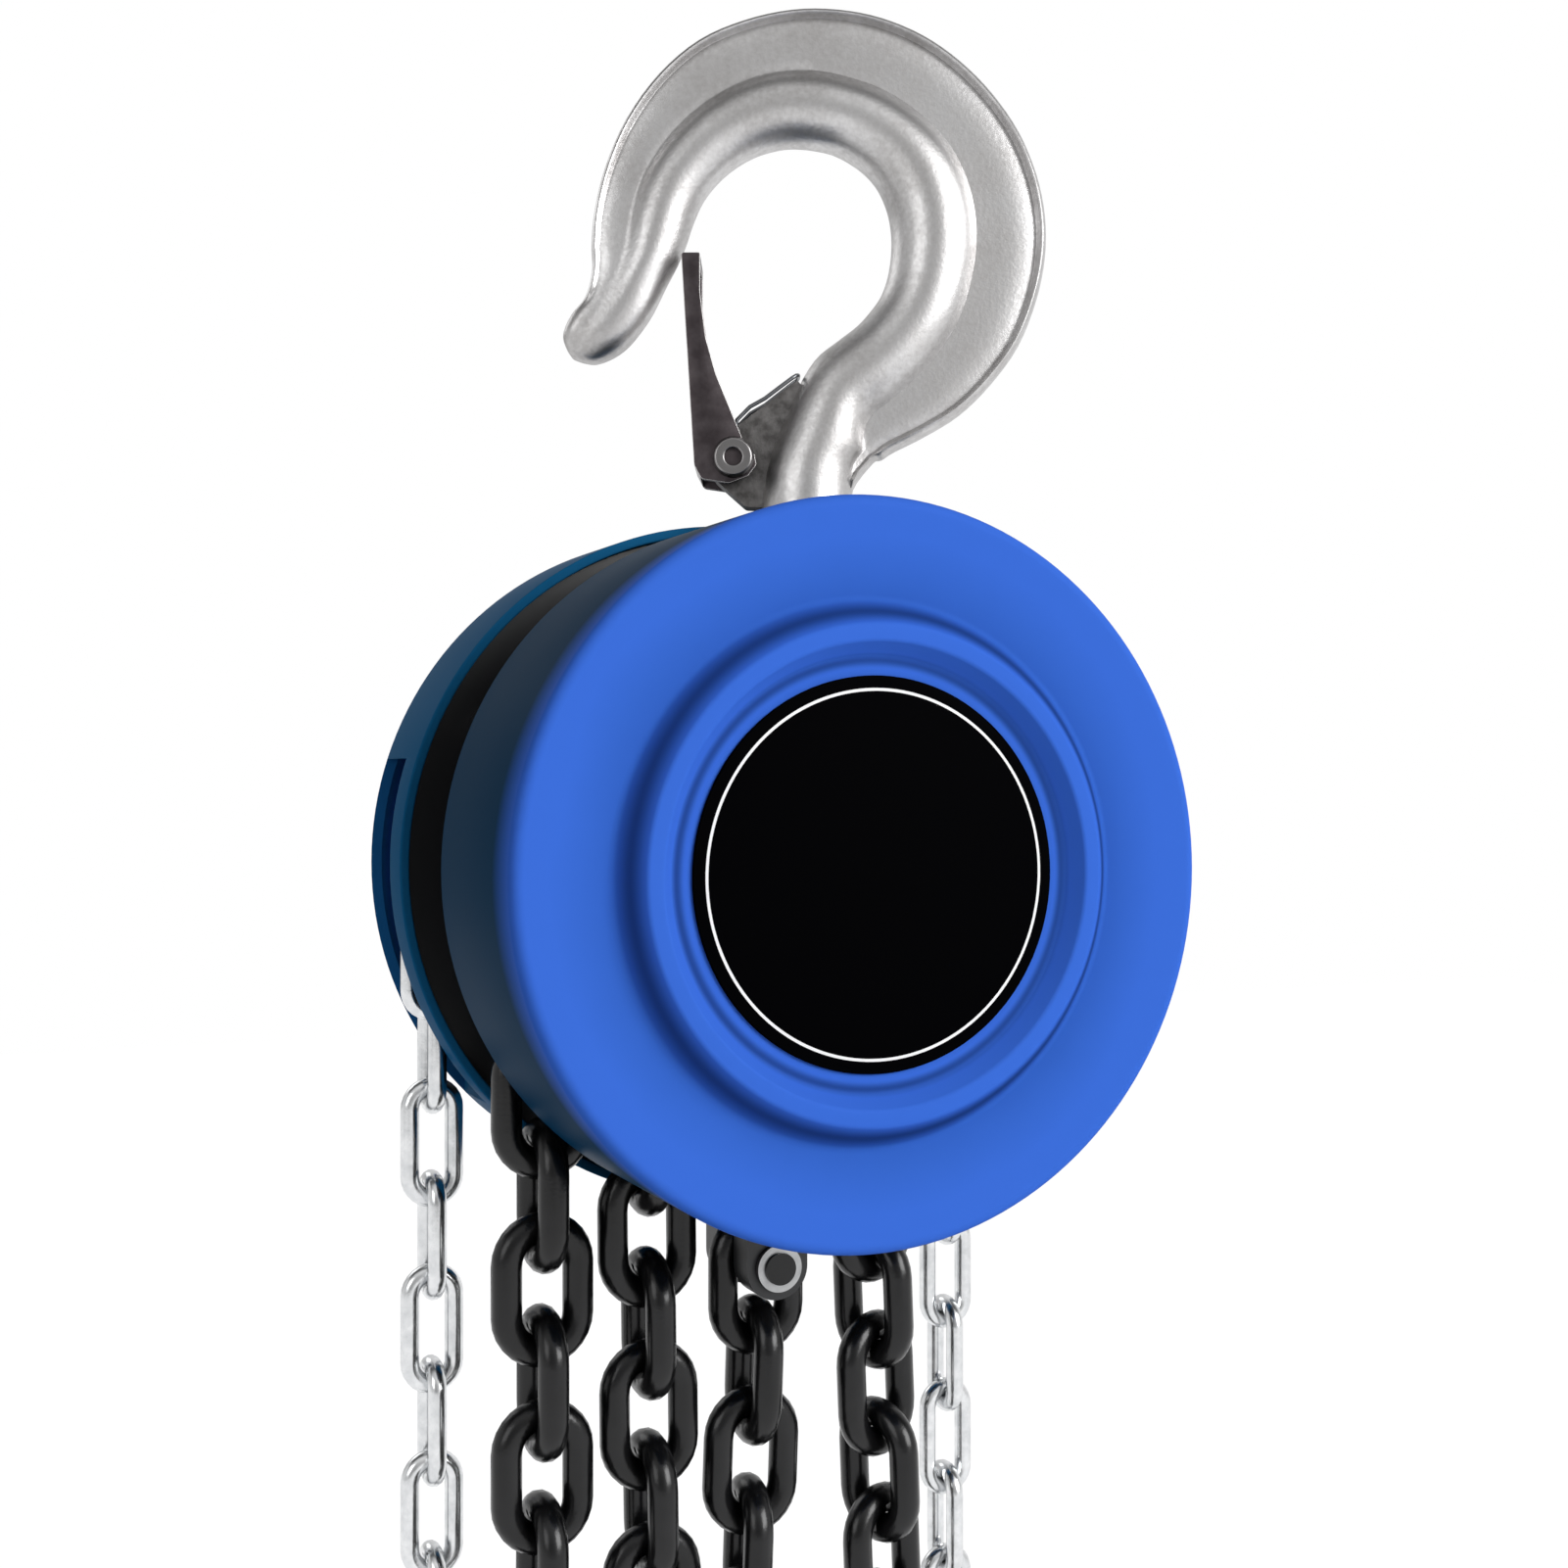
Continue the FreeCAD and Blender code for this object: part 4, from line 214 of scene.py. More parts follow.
# Stove enamel: sprayed and baked, so it is smooth with a faint orange peel. Its mirror is turned down,
# because the tent hardly shows in it. It is a royal blue on the faces. The petrol on the skirts is
# painted shade, and the darker foot of a groove is painted shade too.
def enamel_with_painted_shade(name, face, skirt, face_from, face_to, grooves=()):
    """Enamel: painted skirt shade to face colour between two depths, painted groove shade; in mm."""
    material, tree, coordinates, shader = begin_finish(name, face, 0.0, 0.4,
                                                       **{"Specular IOR Level": 0.005})
    centred = add(tree, "ShaderNodeVectorMath", {0: coordinates, 1: DRUM}, operation="SUBTRACT")
    apart = add(tree, "ShaderNodeSeparateXYZ", {0: centred.outputs[0]})
    run = add(tree, "ShaderNodeMapRange", {"Value": apart.outputs["Y"], "From Min": -face_from / 1000,
                                           "From Max": -face_to / 1000})
    clouds = add(tree, "ShaderNodeMath", {0: mottle(tree, coordinates, 40), 1: 0.12, 2: -0.06},
                 operation="MULTIPLY_ADD")
    run = add(tree, "ShaderNodeMath", {0: run.outputs["Result"], 1: clouds.outputs[0]}, operation="ADD")
    # painted shade: the skirts take the darker colour, set by depth along the drum's axis
    colour = shades(tree, run.outputs[0], (0.06, skirt), (0.94, face))
    flat = add(tree, "ShaderNodeVectorMath", {0: centred.outputs[0], 1: (1, 0, 1)},
               operation="MULTIPLY")
    radius = add(tree, "ShaderNodeVectorMath", {0: flat.outputs[0]},
                 operation="LENGTH").outputs["Value"]
    # painted shade: the colour darkens towards the middle of each groove's foot
    for middle, half, depth in grooves:
        off = add(tree, "ShaderNodeMath", {0: radius, 1: middle / 1000}, operation="SUBTRACT")
        off = add(tree, "ShaderNodeMath", {0: off.outputs[0]}, operation="ABSOLUTE")
        shade = add(tree, "ShaderNodeMapRange",
                    {"Value": off.outputs[0], "From Max": half / 1000, "To Min": depth, "To Max": 1.0},
                    interpolation_type="SMOOTHSTEP")
        dimmed = add(tree, "ShaderNodeVectorMath", {0: colour, "Scale": shade.outputs["Result"]},
                     operation="SCALE")
        colour = dimmed.outputs[0]
    tree.links.new(colour, shader.inputs["Base Color"])
    rough_skin(tree, shader, coordinates, 1.6, 0.012)
    return material


# radius, half width and darkness of the painted shade in the feet of the cover's two grooves
COVER_GROOVE_SHADE = ((61.6, 3.4, 0.34), (50.2, 2.0, 0.45))
enamel = enamel_with_painted_shade("stove_enamel_blue", "#3A6AD2", "#093654", 60, 75, COVER_GROOVE_SHADE)


def rounded(corners, radii, steps=6):
    """The outline with an arc at each corner that has a radius."""
    points = []
    for i, corner in enumerate(corners):
        here = Vector(corner)
        if not radii[i]:
            points.append(here)
            continue
        before = (Vector(corners[i - 1]) - here).normalized()
        after = (Vector(corners[(i + 1) % len(corners)]) - here).normalized()
        half = before.angle(after) / 2
        back = radii[i] / math.tan(half)
        start, end = here + before * back, here + after * back
        centre = here + (before + after).normalized() * radii[i] / math.sin(half)
        sweep = math.pi - 2 * half
        side = (start - centre).normalized()
        turn = 1 if (start - centre).cross(end - centre) > 0 else -1
        for step in range(steps + 1):
            angle = turn * sweep * step / steps
            spoke = Vector((side.x * math.cos(angle) - side.y * math.sin(angle),
                            side.x * math.sin(angle) + side.y * math.cos(angle)))
            points.append(centre + spoke * radii[i])
    return points


def mesh_piece(name, build, material, smooth=35):
    """A piece from bmesh code, smooth but for its sharp edges."""
    bm = bmesh.new()
    build(bm)
    bmesh.ops.remove_doubles(bm, verts=bm.verts, dist=1e-6)
    bmesh.ops.recalc_face_normals(bm, faces=bm.faces)
    mesh = bpy.data.meshes.new(name)
    bm.to_mesh(mesh)
    bm.free()
    mesh.materials.append(material)
    mesh.shade_smooth()
    mesh.set_sharp_from_angle(angle=math.radians(smooth))
    piece = bpy.data.objects.new(name, mesh)
    bpy.context.scene.collection.objects.link(piece)
    return piece


def applied(piece):
    """The piece's mesh with its modifiers worked in, which it also gets."""
    bpy.context.view_layer.update()
    done = bpy.data.meshes.new_from_object(piece.evaluated_get(bpy.context.evaluated_depsgraph_get()))
    piece.modifiers.clear()
    piece.data = done
    return done


def turned(name, outline, material, segments=160, place=None):
    """A piece turned about the drum's axis, from (radius, distance towards the front) in mm."""
    def build(bm):
        edge = [bm.verts.new((p[0] / 1000, 0, p[1] / 1000)) for p in outline]
        loops = [bm.edges.new((edge[i], edge[(i + 1) % len(edge)])) for i in range(len(edge))]
        bmesh.ops.spin(bm, geom=edge + loops, cent=(0, 0, 0), axis=(0, 0, 1), angle=2 * math.pi,
                       steps=segments, use_duplicate=False)
        bmesh.ops.transform(bm, verts=bm.verts, matrix=(place or Matrix.Translation(DRUM)) @
                            Matrix.Rotation(math.radians(90), 4, "X"))
    return mesh_piece(name, build, material)


gear_cover = turned("gear_cover_shell", rounded(
    [(0.02, 71), (52, 71), (56, 74), (60, 68.5), (86, 73), (86, 15), (89, 15), (89, 76), (64.5, 71.2),
     (58.6, 78.5), (54.6, 78.5), (51.2, 74), (0.02, 74)],
    [0, 1, 1, 1, 2, 0.6, 0.6, 2.6, 2.2, 1.6, 1.4, 1.2, 0]), enamel)
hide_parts("gear_cover")
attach(gear_cover, "hoist_body")


# Name plate: a disc of 1 mm aluminium, enamelled black, with one thin white line printed round it. Like
# the covers it hardly mirrors the tent. The line's radius and half its width are in mm.
LINE_RADIUS = 43.3
LINE_HALF = 0.35
plate_finish, tree, coordinates, shader = begin_finish("gloss_black_print", "#020202", 0.0, 0.6,
                                                       **{"Specular IOR Level": 0.01})
centred = add(tree, "ShaderNodeVectorMath", {0: coordinates, 1: (DRUM.x, 0, DRUM.z)},
              operation="SUBTRACT")
flat = add(tree, "ShaderNodeVectorMath", {0: centred.outputs[0], 1: (1, 0, 1)}, operation="MULTIPLY")
radius = add(tree, "ShaderNodeVectorMath", {0: flat.outputs[0]}, operation="LENGTH")
off_line = add(tree, "ShaderNodeMath", {0: radius.outputs["Value"], 1: LINE_RADIUS / 1000},
               operation="SUBTRACT")
off_line = add(tree, "ShaderNodeMath", {0: off_line.outputs[0]}, operation="ABSOLUTE")
on_line = add(tree, "ShaderNodeMath", {0: off_line.outputs[0], 1: LINE_HALF / 1000}, operation="LESS_THAN")
tree.links.new(shades(tree, on_line.outputs[0], (0.4, "#010102"), (0.6, "#F4F4F4")),
               shader.inputs["Base Color"])
name_plate = turned("name_plate_disc", rounded(
    [(0.02, 74.02), (46.6, 74.02), (46.6, 75), (0.02, 75)], [0, 0.2, 0.3, 0]), plate_finish)
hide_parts("name_plate")
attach(name_plate, "hoist_body")


# Wheel cover: a wider cup over the hand wheel, pressed and enamelled like the gear cover, with an
# opening cut at each side of its skirt for the hand chain to run out of.
OPENING_DEPTHS = (26.5, 49.5)
OPENING_HEIGHTS = (DRUM.z * 1000 - 95, DRUM.z * 1000 + 28)
OPENING_SIDES = ((50, 90), (-120, -82))


def with_holes(piece, *tools):
    """The piece with boxes cut out of it, each from its lowest to its highest corner in mm."""
    for low, high in tools:
        bm = bmesh.new()
        bmesh.ops.create_cube(bm, size=1)
        size = [(h - l) / 1000 for l, h in zip(low, high)]
        middle = [(h + l) / 2000 for l, h in zip(low, high)]
        bmesh.ops.transform(bm, verts=bm.verts,
                            matrix=Matrix.Translation(middle) @ Matrix.Diagonal((*size, 1)))
        mesh = bpy.data.meshes.new("tool")
        bm.to_mesh(mesh)
        bm.free()
        tool = bpy.data.objects.new("tool", mesh)
        bpy.context.scene.collection.objects.link(tool)
        cut = piece.modifiers.new("cut", "BOOLEAN")
        cut.operation = "DIFFERENCE"
        cut.solver = "EXACT"
        cut.object = tool
        applied(piece)
        bpy.data.objects.remove(tool)
    piece.data.shade_smooth()
    piece.data.set_sharp_from_angle(angle=math.radians(35))
    return piece


# The back skirt's lighter petrol is painted light, falling from behind and to the left.
wheel_cover = turned("wheel_cover_shell", rounded(
    [(0.02, -60.5), (36, -60.5), (39, -57), (86.5, -57), (92, -50), (92, -15), (89.5, -15), (89.5, -49),
     (85, -54.5), (38, -54.5), (35, -58), (0.02, -58)],
    [0, 1.5, 1.5, 3, 4, 0.6, 0.6, 2, 2, 1, 1, 0]),
    enamel_with_painted_shade("stove_enamel_blue_back", "#3366D3", "#165A86", -48, -56))
with_holes(wheel_cover, *(tuple(zip(side, OPENING_DEPTHS, OPENING_HEIGHTS)) for side in OPENING_SIDES))
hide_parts("wheel_cover")
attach(wheel_cover, "hoist_body")


# Load chain: alloy steel wire of 8 mm bent to links of 24 mm pitch, welded, hardened and left black
# under oil. Hand chain: 5 mm wire at 25 mm pitch, zinc plated. Geometry Nodes bends one link and lays a
# copy on each of the places that the solid links hold.
def link_places(node_name):
    """Centre and turn of every link of a CAD chain: long way on Z, thin way on Y."""
    bm = bmesh.new()
    bm.from_mesh(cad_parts[node_name].data)
    bmesh.ops.remove_doubles(bm, verts=bm.verts, dist=1e-5)
    unseen = set(bm.verts)
    places = []
    while unseen:
        stack = [unseen.pop()]
        link = []
        while stack:
            corner = stack.pop()
            link.append(corner.co[:])
            for edge in corner.link_edges:
                other = edge.other_vert(corner)
                if other in unseen:
                    unseen.remove(other)
                    stack.append(other)
        corners = np.array(link)
        centre = corners.mean(axis=0)
        spread, axes = np.linalg.eigh(np.cov((corners - centre).T))
        thin, long = Vector(axes[:, 0]), Vector(axes[:, 2])
        wide = thin.cross(long)
        turn = Matrix((wide, thin, long)).transposed().to_quaternion()
        places.append((Vector(centre), turn))
    bm.free()
    return places


def link_tree(name, material):
    """A chain's node tree: a rounded loop of wire, set on each point and turned by its attribute."""
    tree = bpy.data.node_groups.new(name, "GeometryNodeTree")
    tree.interface.new_socket("Geometry", in_out="INPUT", socket_type="NodeSocketGeometry")
    for socket in ("Wire", "Pitch", "Width"):
        tree.interface.new_socket(socket, in_out="INPUT", socket_type="NodeSocketFloat")
    tree.interface.new_socket("Geometry", in_out="OUTPUT", socket_type="NodeSocketGeometry")
    given = add(tree, "NodeGroupInput").outputs
    across = add(tree, "ShaderNodeMath", {0: given["Width"], 1: given["Wire"]},
                 operation="SUBTRACT").outputs[0]
    along = add(tree, "ShaderNodeMath", {0: given["Pitch"], 1: given["Wire"]},
                operation="ADD").outputs[0]
    bend = add(tree, "ShaderNodeMath", {0: across, 1: 0.4995}, operation="MULTIPLY").outputs[0]
    half_wire = add(tree, "ShaderNodeMath", {0: given["Wire"], 1: 0.5}, operation="MULTIPLY").outputs[0]
    frame_line = add(tree, "GeometryNodeCurvePrimitiveQuadrilateral",
                     {"Width": across, "Height": along})
    loop = add(tree, "GeometryNodeFilletCurve",
               {"Curve": frame_line.outputs[0], "Radius": bend, "Count": 7}, mode="POLY")
    upright = add(tree, "GeometryNodeTransform",
                  {"Geometry": loop.outputs[0], "Rotation": (math.pi / 2, 0, 0)})
    section = add(tree, "GeometryNodeCurvePrimitiveCircle", {"Resolution": 14, "Radius": half_wire})
    wire = add(tree, "GeometryNodeCurveToMesh",
               {"Curve": upright.outputs[0], "Profile Curve": section.outputs[0]})
    turn = add(tree, "GeometryNodeInputNamedAttribute", {"Name": "turn"}, data_type="QUATERNION")
    laid = add(tree, "GeometryNodeInstanceOnPoints", {
        "Points": given["Geometry"], "Instance": wire.outputs[0], "Rotation": turn.outputs["Attribute"]})
    real = add(tree, "GeometryNodeRealizeInstances", {"Geometry": laid.outputs[0]})
    finish = add(tree, "GeometryNodeSetMaterial", {"Geometry": real.outputs[0], "Material": material})
    add(tree, "NodeGroupOutput", {"Geometry": finish.outputs[0]})
    return tree


def chain(name, node_name, body, tree, wire, pitch, width, slot):
    """The chain's visible links, in place of the solid ones."""
    places = link_places(node_name)
    mesh = bpy.data.meshes.new(name)
    mesh.from_pydata([centre for centre, turn in places], [], [])
    turns = mesh.attributes.new("turn", "QUATERNION", "POINT")
    for value, (centre, turn) in zip(turns.data, places):
        value.value = turn
    piece = bpy.data.objects.new(name, mesh)
    bpy.context.scene.collection.objects.link(piece)
    links = piece.modifiers.new("links", "NODES")
    links.node_group = tree
    sockets = {s.name: s.identifier for s in tree.interface.items_tree if s.in_out == "INPUT"}
    for socket, size in (("Wire", wire), ("Pitch", pitch), ("Width", width)):
        links[sockets[socket]] = size / 1000
    applied(piece).shade_smooth()
    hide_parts(node_name)
    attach(piece, body)
    return piece


# Black oxide: hot-dipped, then oiled. It is nearly black, with a dull sheen where the bends rub.
black_oxide, tree, coordinates, shader = begin_finish("black_oxide_steel", "#0C0C0D", 0.2, 0.24)
clouded(tree, shader, coordinates, 9, (0.3, "#070708"), (0.75, "#161618"))
rough_skin(tree, shader, coordinates, 0.9, 0.03)
# Zinc plate: bright and slightly clouded.
zinc, tree, coordinates, shader = begin_finish("bright_zinc_plate", "#DFE1E3", 1.0, 0.22)
clouded(tree, shader, coordinates, 4, (0.3, "#D2D4D6"), (0.7, "#EAEBEC"))
rough_skin(tree, shader, coordinates, 1.2, 0.02)
# wire, pitch and width in mm
LOAD_CHAIN = (8, 24, 27)
HAND_CHAIN = (5, 25, 17)
load_links = link_tree("load_chain_links", black_oxide)
chain("load_chain_live", "load_chain_live_fall", "bottom_block", load_links, *LOAD_CHAIN, "black_chain")
chain("load_chain_standing", "load_chain_standing_fall", "hoist_body", load_links, *LOAD_CHAIN,
      "black_chain")
chain("load_chain_slack", "load_chain_slack_end", "hoist_body", load_links, *LOAD_CHAIN, "black_chain")
hand_links = link_tree("hand_chain_links", zinc)
chain("hand_chain_loop", "hand_chain", "hoist_body", hand_links, *HAND_CHAIN, "zinc_chain")


# Hooks: closed-die forgings in alloy steel. A round bar carries the load along the bowl and runs on as
# the shank; a flat web with a raised rim stiffens its back, and a lug beside the shank carries the
# latch. The forgings are shot blasted and zinc plated.
TOP = Matrix.Rotation(-CAMERA_TURN, 4, "Z")
LOWER_HOOK = -0.7375555
BOTTOM = Matrix.Translation((0, 0, LOWER_HOOK)) @ TOP @ Matrix.Rotation(math.pi, 4, "Y")
# inner edge, outer edge, bar across, half of web and of rim: mm in the hook's plane, from the bowl's seat
HOOK = (
    (-12.5, -100.0, 12.5, -100.0, 25.0, 6, 6), (-12.3, -93.7, 12.4, -92.4, 24.6, 6, 6),
    (-10.6, -84.1, 18.1, -84.8, 24.4, 5, 5.6), (-3.8, -67.4, 20.5, -84.0, 23.4, 4.6, 5.8),
    (1.8, -57.6, 23.4, -82.1, 22.8, 4.6, 6), (8.1, -52.3, 31.9, -77.8, 22.6, 4.6, 6),
    (13.4, -48.2, 41.3, -72.0, 22.4, 4.6, 6), (17.4, -43.7, 49.8, -63.7, 22.4, 4.6, 6),
    (20.0, -39.7, 57.2, -53.4, 22.6, 4.6, 6), (21.8, -34.5, 62.0, -41.3, 22.9, 4.6, 6),
    (22.7, -28.2, 64.3, -29.8, 23.3, 4.6, 6), (22.6, -22.4, 64.3, -18.9, 23.5, 4.6, 6),
    (21.5, -16.5, 62.0, -7.7, 23.4, 4.6, 6), (19.0, -10.7, 57.4, 3.4, 23.1, 4.6, 6),
    (15.4, -6.4, 50.2, 13.9, 22.6, 4.6, 6), (10.9, -3.1, 41.4, 22.8, 22.0, 4.6, 6),
    (6.4, -0.9, 31.5, 29.7, 21.4, 4.6, 6), (1.9, 0.1, 20.1, 34.5, 20.9, 4.6, 6),
    (-1.8, 0.5, 8.3, 36.8, 20.6, 4.6, 6), (-5.4, 0.5, -4.1, 36.8, 20.2, 4.6, 6),
    (-9.4, -0.2, -17.1, 34.0, 19.8, 4.6, 6), (-14.0, -1.7, -29.5, 28.6, 19.2, 4.6, 6),
    (-18.9, -4.4, -40.3, 19.5, 18.7, 4.6, 6), (-23.8, -8.4, -49.1, 7.5, 18.3, 4.7, 6),
    (-28.1, -13.8, -54.8, -5.5, 18.1, 4.9, 6), (-30.9, -19.9, -57.7, -17.2, 17.8, 5.4, 6),
    (-32.9, -25.8, -58.5, -26.2, 17.4, 6.1, 6.2), (-35.2, -31.1, -58.3, -32.8, 17.0, 6.6, 6.6),
    (-38.2, -36.8, -59.1, -37.7, 16.5, 6.9, 6.6), (-41.8, -44.1, -60.7, -41.6, 16.0, 7.2, 6),
    (-45.4, -49.5, -63.7, -45.1, 15.6, 7.3, 5), (-48.9, -53.5, -65.6, -48.6, 14.8, 7.0, 4),
    (-52.8, -56.3, -66.2, -51.5, 12.6, 6.0, 3), (-57.2, -58.0, -65.2, -54.5, 9.0, 4.3, 2),
    (-60.4, -57.8, -63.9, -56.5, 4.6, 2.2, 1))
LUG = ((-2.7, -63.4), (-14.4, -72.2), (-21.5, -77.6), (-26.4, -82.4), (-25.6, -89.6), (-16.7, -97.5),
       (2, -98), (6, -75))
LUG_RADII = (0.5, 3, 3, 4, 4, 2, 0.5, 0.5)
LUG_HALF = 4
SHANK_RADIUS = 10.5
SHANK_LENGTH = 25.8
SHANK_MIDDLE = -107.9

forging, tree, coordinates, shader = begin_finish("zinc_plated_forging", "#A9A8A8", 1.0, 0.33)
clouds = mottle(tree, coordinates, 22, 4)
grain = mottle(tree, coordinates, 1.4, 2)
blend = add(tree, "ShaderNodeMix", {0: 0.35, 2: clouds, 3: grain})
tree.links.new(shades(tree, blend.outputs[0], (0.35, "#B2B0AF"), (0.65, "#D4D3D3")),
               shader.inputs["Base Color"])
dull = add(tree, "ShaderNodeMapRange", {"Value": blend.outputs[0], "From Min": 0.35, "From Max": 0.65,
                                        "To Min": 0.44, "To Max": 0.34})
tree.links.new(dull.outputs["Result"], shader.inputs["Roughness"])
rough_skin(tree, shader, coordinates, 1.1, 0.06)


# The lug's flat gets a darker grey: painted shade of the latch that covers it.
lug_shade_steel, tree, coordinates, shader = begin_finish("lug_painted_shade", "#6A6867", 1.0, 0.5)
clouded(tree, shader, coordinates, 3, (0.35, "#555352"), (0.7, "#7E7C7B"), 4)
rough_skin(tree, shader, coordinates, 0.9, 0.08)


def catmull(rows, between):
    """Rows of numbers with a smooth run between them."""
    run = []
    for i in range(len(rows) - 1):
        a, b, c, d = (np.array(rows[min(max(j, 0), len(rows) - 1)], float) for j in range(i - 1, i + 3))
        for step in range(between):
            t = step / between
            run.append(0.5 * (2 * b + (c - a) * t + (2 * a - 5 * b + 4 * c - d) * t * t
                              + (3 * b - a - 3 * c + d) * t ** 3))
    return run + [np.array(rows[-1], float)]


def hook_section(row):
    """Points round the bar, web and rim at one station, in mm."""
    inner, outer, bar, web, rim = Vector((row[0], 0, row[1])), Vector((row[2], 0, row[3])), *row[4:]
    width = (outer - inner).length
    bar = min(bar, width)
    rim_half = max(0.25, min(1.5, (width - bar * 0.95) / 2))
    across = [bar / 2 * (1 - math.cos(math.radians(a))) for a in range(0, 161, 10)]
    flat_end = max(width - 2 * rim_half, across[-1] + 0.01)
    across += [across[-1] + (flat_end - across[-1]) * i / 5 for i in range(1, 5)]
    across += [width - (width - flat_end) * (1 + math.cos(math.radians(a))) / 2
               for a in range(0, 181, 18)]
    upper = []
    for t in across:
        heights = [math.sqrt(max(0, (bar / 2) ** 2 - (t - bar / 2) ** 2))]
        end = max(0, 1 - abs((t - width / 2) / (width / 2)) ** 5)
        heights.append(web * end ** 0.4)
        off = (t - width + rim_half) / rim_half
        heights.append(rim * math.sqrt(max(0, 1 - off * off)) if width > bar + 0.5 else 0)
        high = max(heights)
        second = sorted(heights)[-2]
        high += max(0, 1.4 - (high - second)) ** 2 / 5.6 if high > 0.01 and second > 0.5 else 0
        upper.append((inner + (outer - inner) * t / width, high))
    ring = [p + Vector((0, h, 0)) for p, h in upper]
    return ring + [p - Vector((0, h, 0)) for p, h in reversed(upper[1:-1])]


def forged_hook(name, node_name, body, place):
    """The whole forging: bar with web, shank and latch lug."""
    def build(bm):
        last = None
        for row in catmull(HOOK, 4):
            ring = [bm.verts.new(p / 1000) for p in hook_section(row)]
            if last:
                for i in range(len(ring)):
                    j = (i + 1) % len(ring)
                    bm.faces.new((last[i], last[j], ring[j], ring[i]))
            else:
                bm.faces.new(ring[::-1])
            last = ring
        bm.faces.new(last)
        bmesh.ops.create_cone(bm, cap_ends=True, segments=48, radius1=SHANK_RADIUS / 1000,
                              radius2=SHANK_RADIUS / 1000, depth=SHANK_LENGTH / 1000,
                              matrix=Matrix.Translation((0, 0, SHANK_MIDDLE / 1000)))
        forged = set(bm.faces)
        lug = bm.faces.new([bm.verts.new((p.x / 1000, LUG_HALF / 1000, p.y / 1000))
                            for p in rounded(LUG, LUG_RADII)])
        moved = bmesh.ops.extrude_face_region(bm, geom=[lug])["geom"]
        bmesh.ops.translate(bm, verts=[g for g in moved if isinstance(g, bmesh.types.BMVert)],
                            vec=(0, -2 * LUG_HALF / 1000, 0))
        # painted shade: the lug takes the darker second material
        for face in set(bm.faces) - forged:
            face.material_index = 1
        bmesh.ops.transform(bm, verts=bm.verts, matrix=place)
    piece = mesh_piece(name, build, forging, 40)
    piece.data.materials.append(lug_shade_steel)
    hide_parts(node_name)
    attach(piece, body)


forged_hook("top_hook_forging", "top_hook", "top_hook", TOP)
forged_hook("bottom_hook_forging", "bottom_hook", "bottom_hook", BOTTOM)


# Latches: 1.8 mm steel blanked and folded to a channel round the lug, quenched to a dark grey, with wear
# and a painted highlight in light steel on its folds and outer wall. A tubular rivet hinges each, and a
# doubled wire of 1.1 mm, wound at either side, presses on the bar's inner edge. All sizes are in mm.
latch_steel, tree, coordinates, shader = begin_finish("dark_latch_steel", "#4A4446", 1.0, 0.4)
clouded(tree, shader, coordinates, 5, (0.35, "#443E40"), (0.7, "#585254"))
rough_skin(tree, shader, coordinates, 0.8, 0.02)
wear_and_highlight_steel, tree, coordinates, shader = begin_finish("latch_wear_and_painted_highlight", "#D2D0CF", 1.0, 0.5)
clouded(tree, shader, coordinates, 3, (0.35, "#C2BFBE"), (0.7, "#E2E0DF"))
rough_skin(tree, shader, coordinates, 0.8, 0.02)
rivet_steel, tree, coordinates, shader = begin_finish("rivet_steel", "#8E8C8C", 1.0, 0.3)
rough_skin(tree, shader, coordinates, 1.0, 0.02)
wire_steel, tree, coordinates, shader = begin_finish("spring_wire", "#77797C", 1.0, 0.28)
rough_skin(tree, shader, coordinates, 0.6, 0.008)
LATCH = [(-30.4, -87), (-28.4, -90.8), (-21, -91.9), (-16, -90), (-13.7, -87), (-14.3, -84),
         (-17.5, -80), (-20.4, -73), (-24.5, -63), (-27.3, -53), (-28.8, -41), (-28.8, -30.3),
         (-33.9, -30.3)]
LATCH_RADII = [2, 1.6, 2, 1.6, 1.6, 2, 3, 6, 12, 12, 12, 0.4, 0.8]
LATCH_HALF = 9.4
LATCH_HOLLOW = [(-28.4, -100), (0, -100), (0, -33), (-30.9, -33)]
LATCH_HOLLOW_HALF = 7.6
FOLD = 1.7
RIVET_X, RIVET_Z = -19.9, -85
COIL_RADIUS = 4.7
SPRING_LEG = ((-19.0, 4.8, -74.2), (-11.5, 4.6, -68.4), (-4.2, 4.0, -62.8), (-2.8, 3.0, -61.9),
              (-2.5, 1.2, -61.6))


def slab_of(bm, outline, low, high):
    """A flat slab of the outline, from low to high through the hook's plane, in mm."""
    face = bm.faces.new([bm.verts.new((p[0] / 1000, low / 1000, p[1] / 1000)) for p in outline])
    moved = bmesh.ops.extrude_face_region(bm, geom=[face])["geom"]
    bmesh.ops.translate(bm, verts=[g for g in moved if isinstance(g, bmesh.types.BMVert)],
                        vec=(0, (high - low) / 1000, 0))


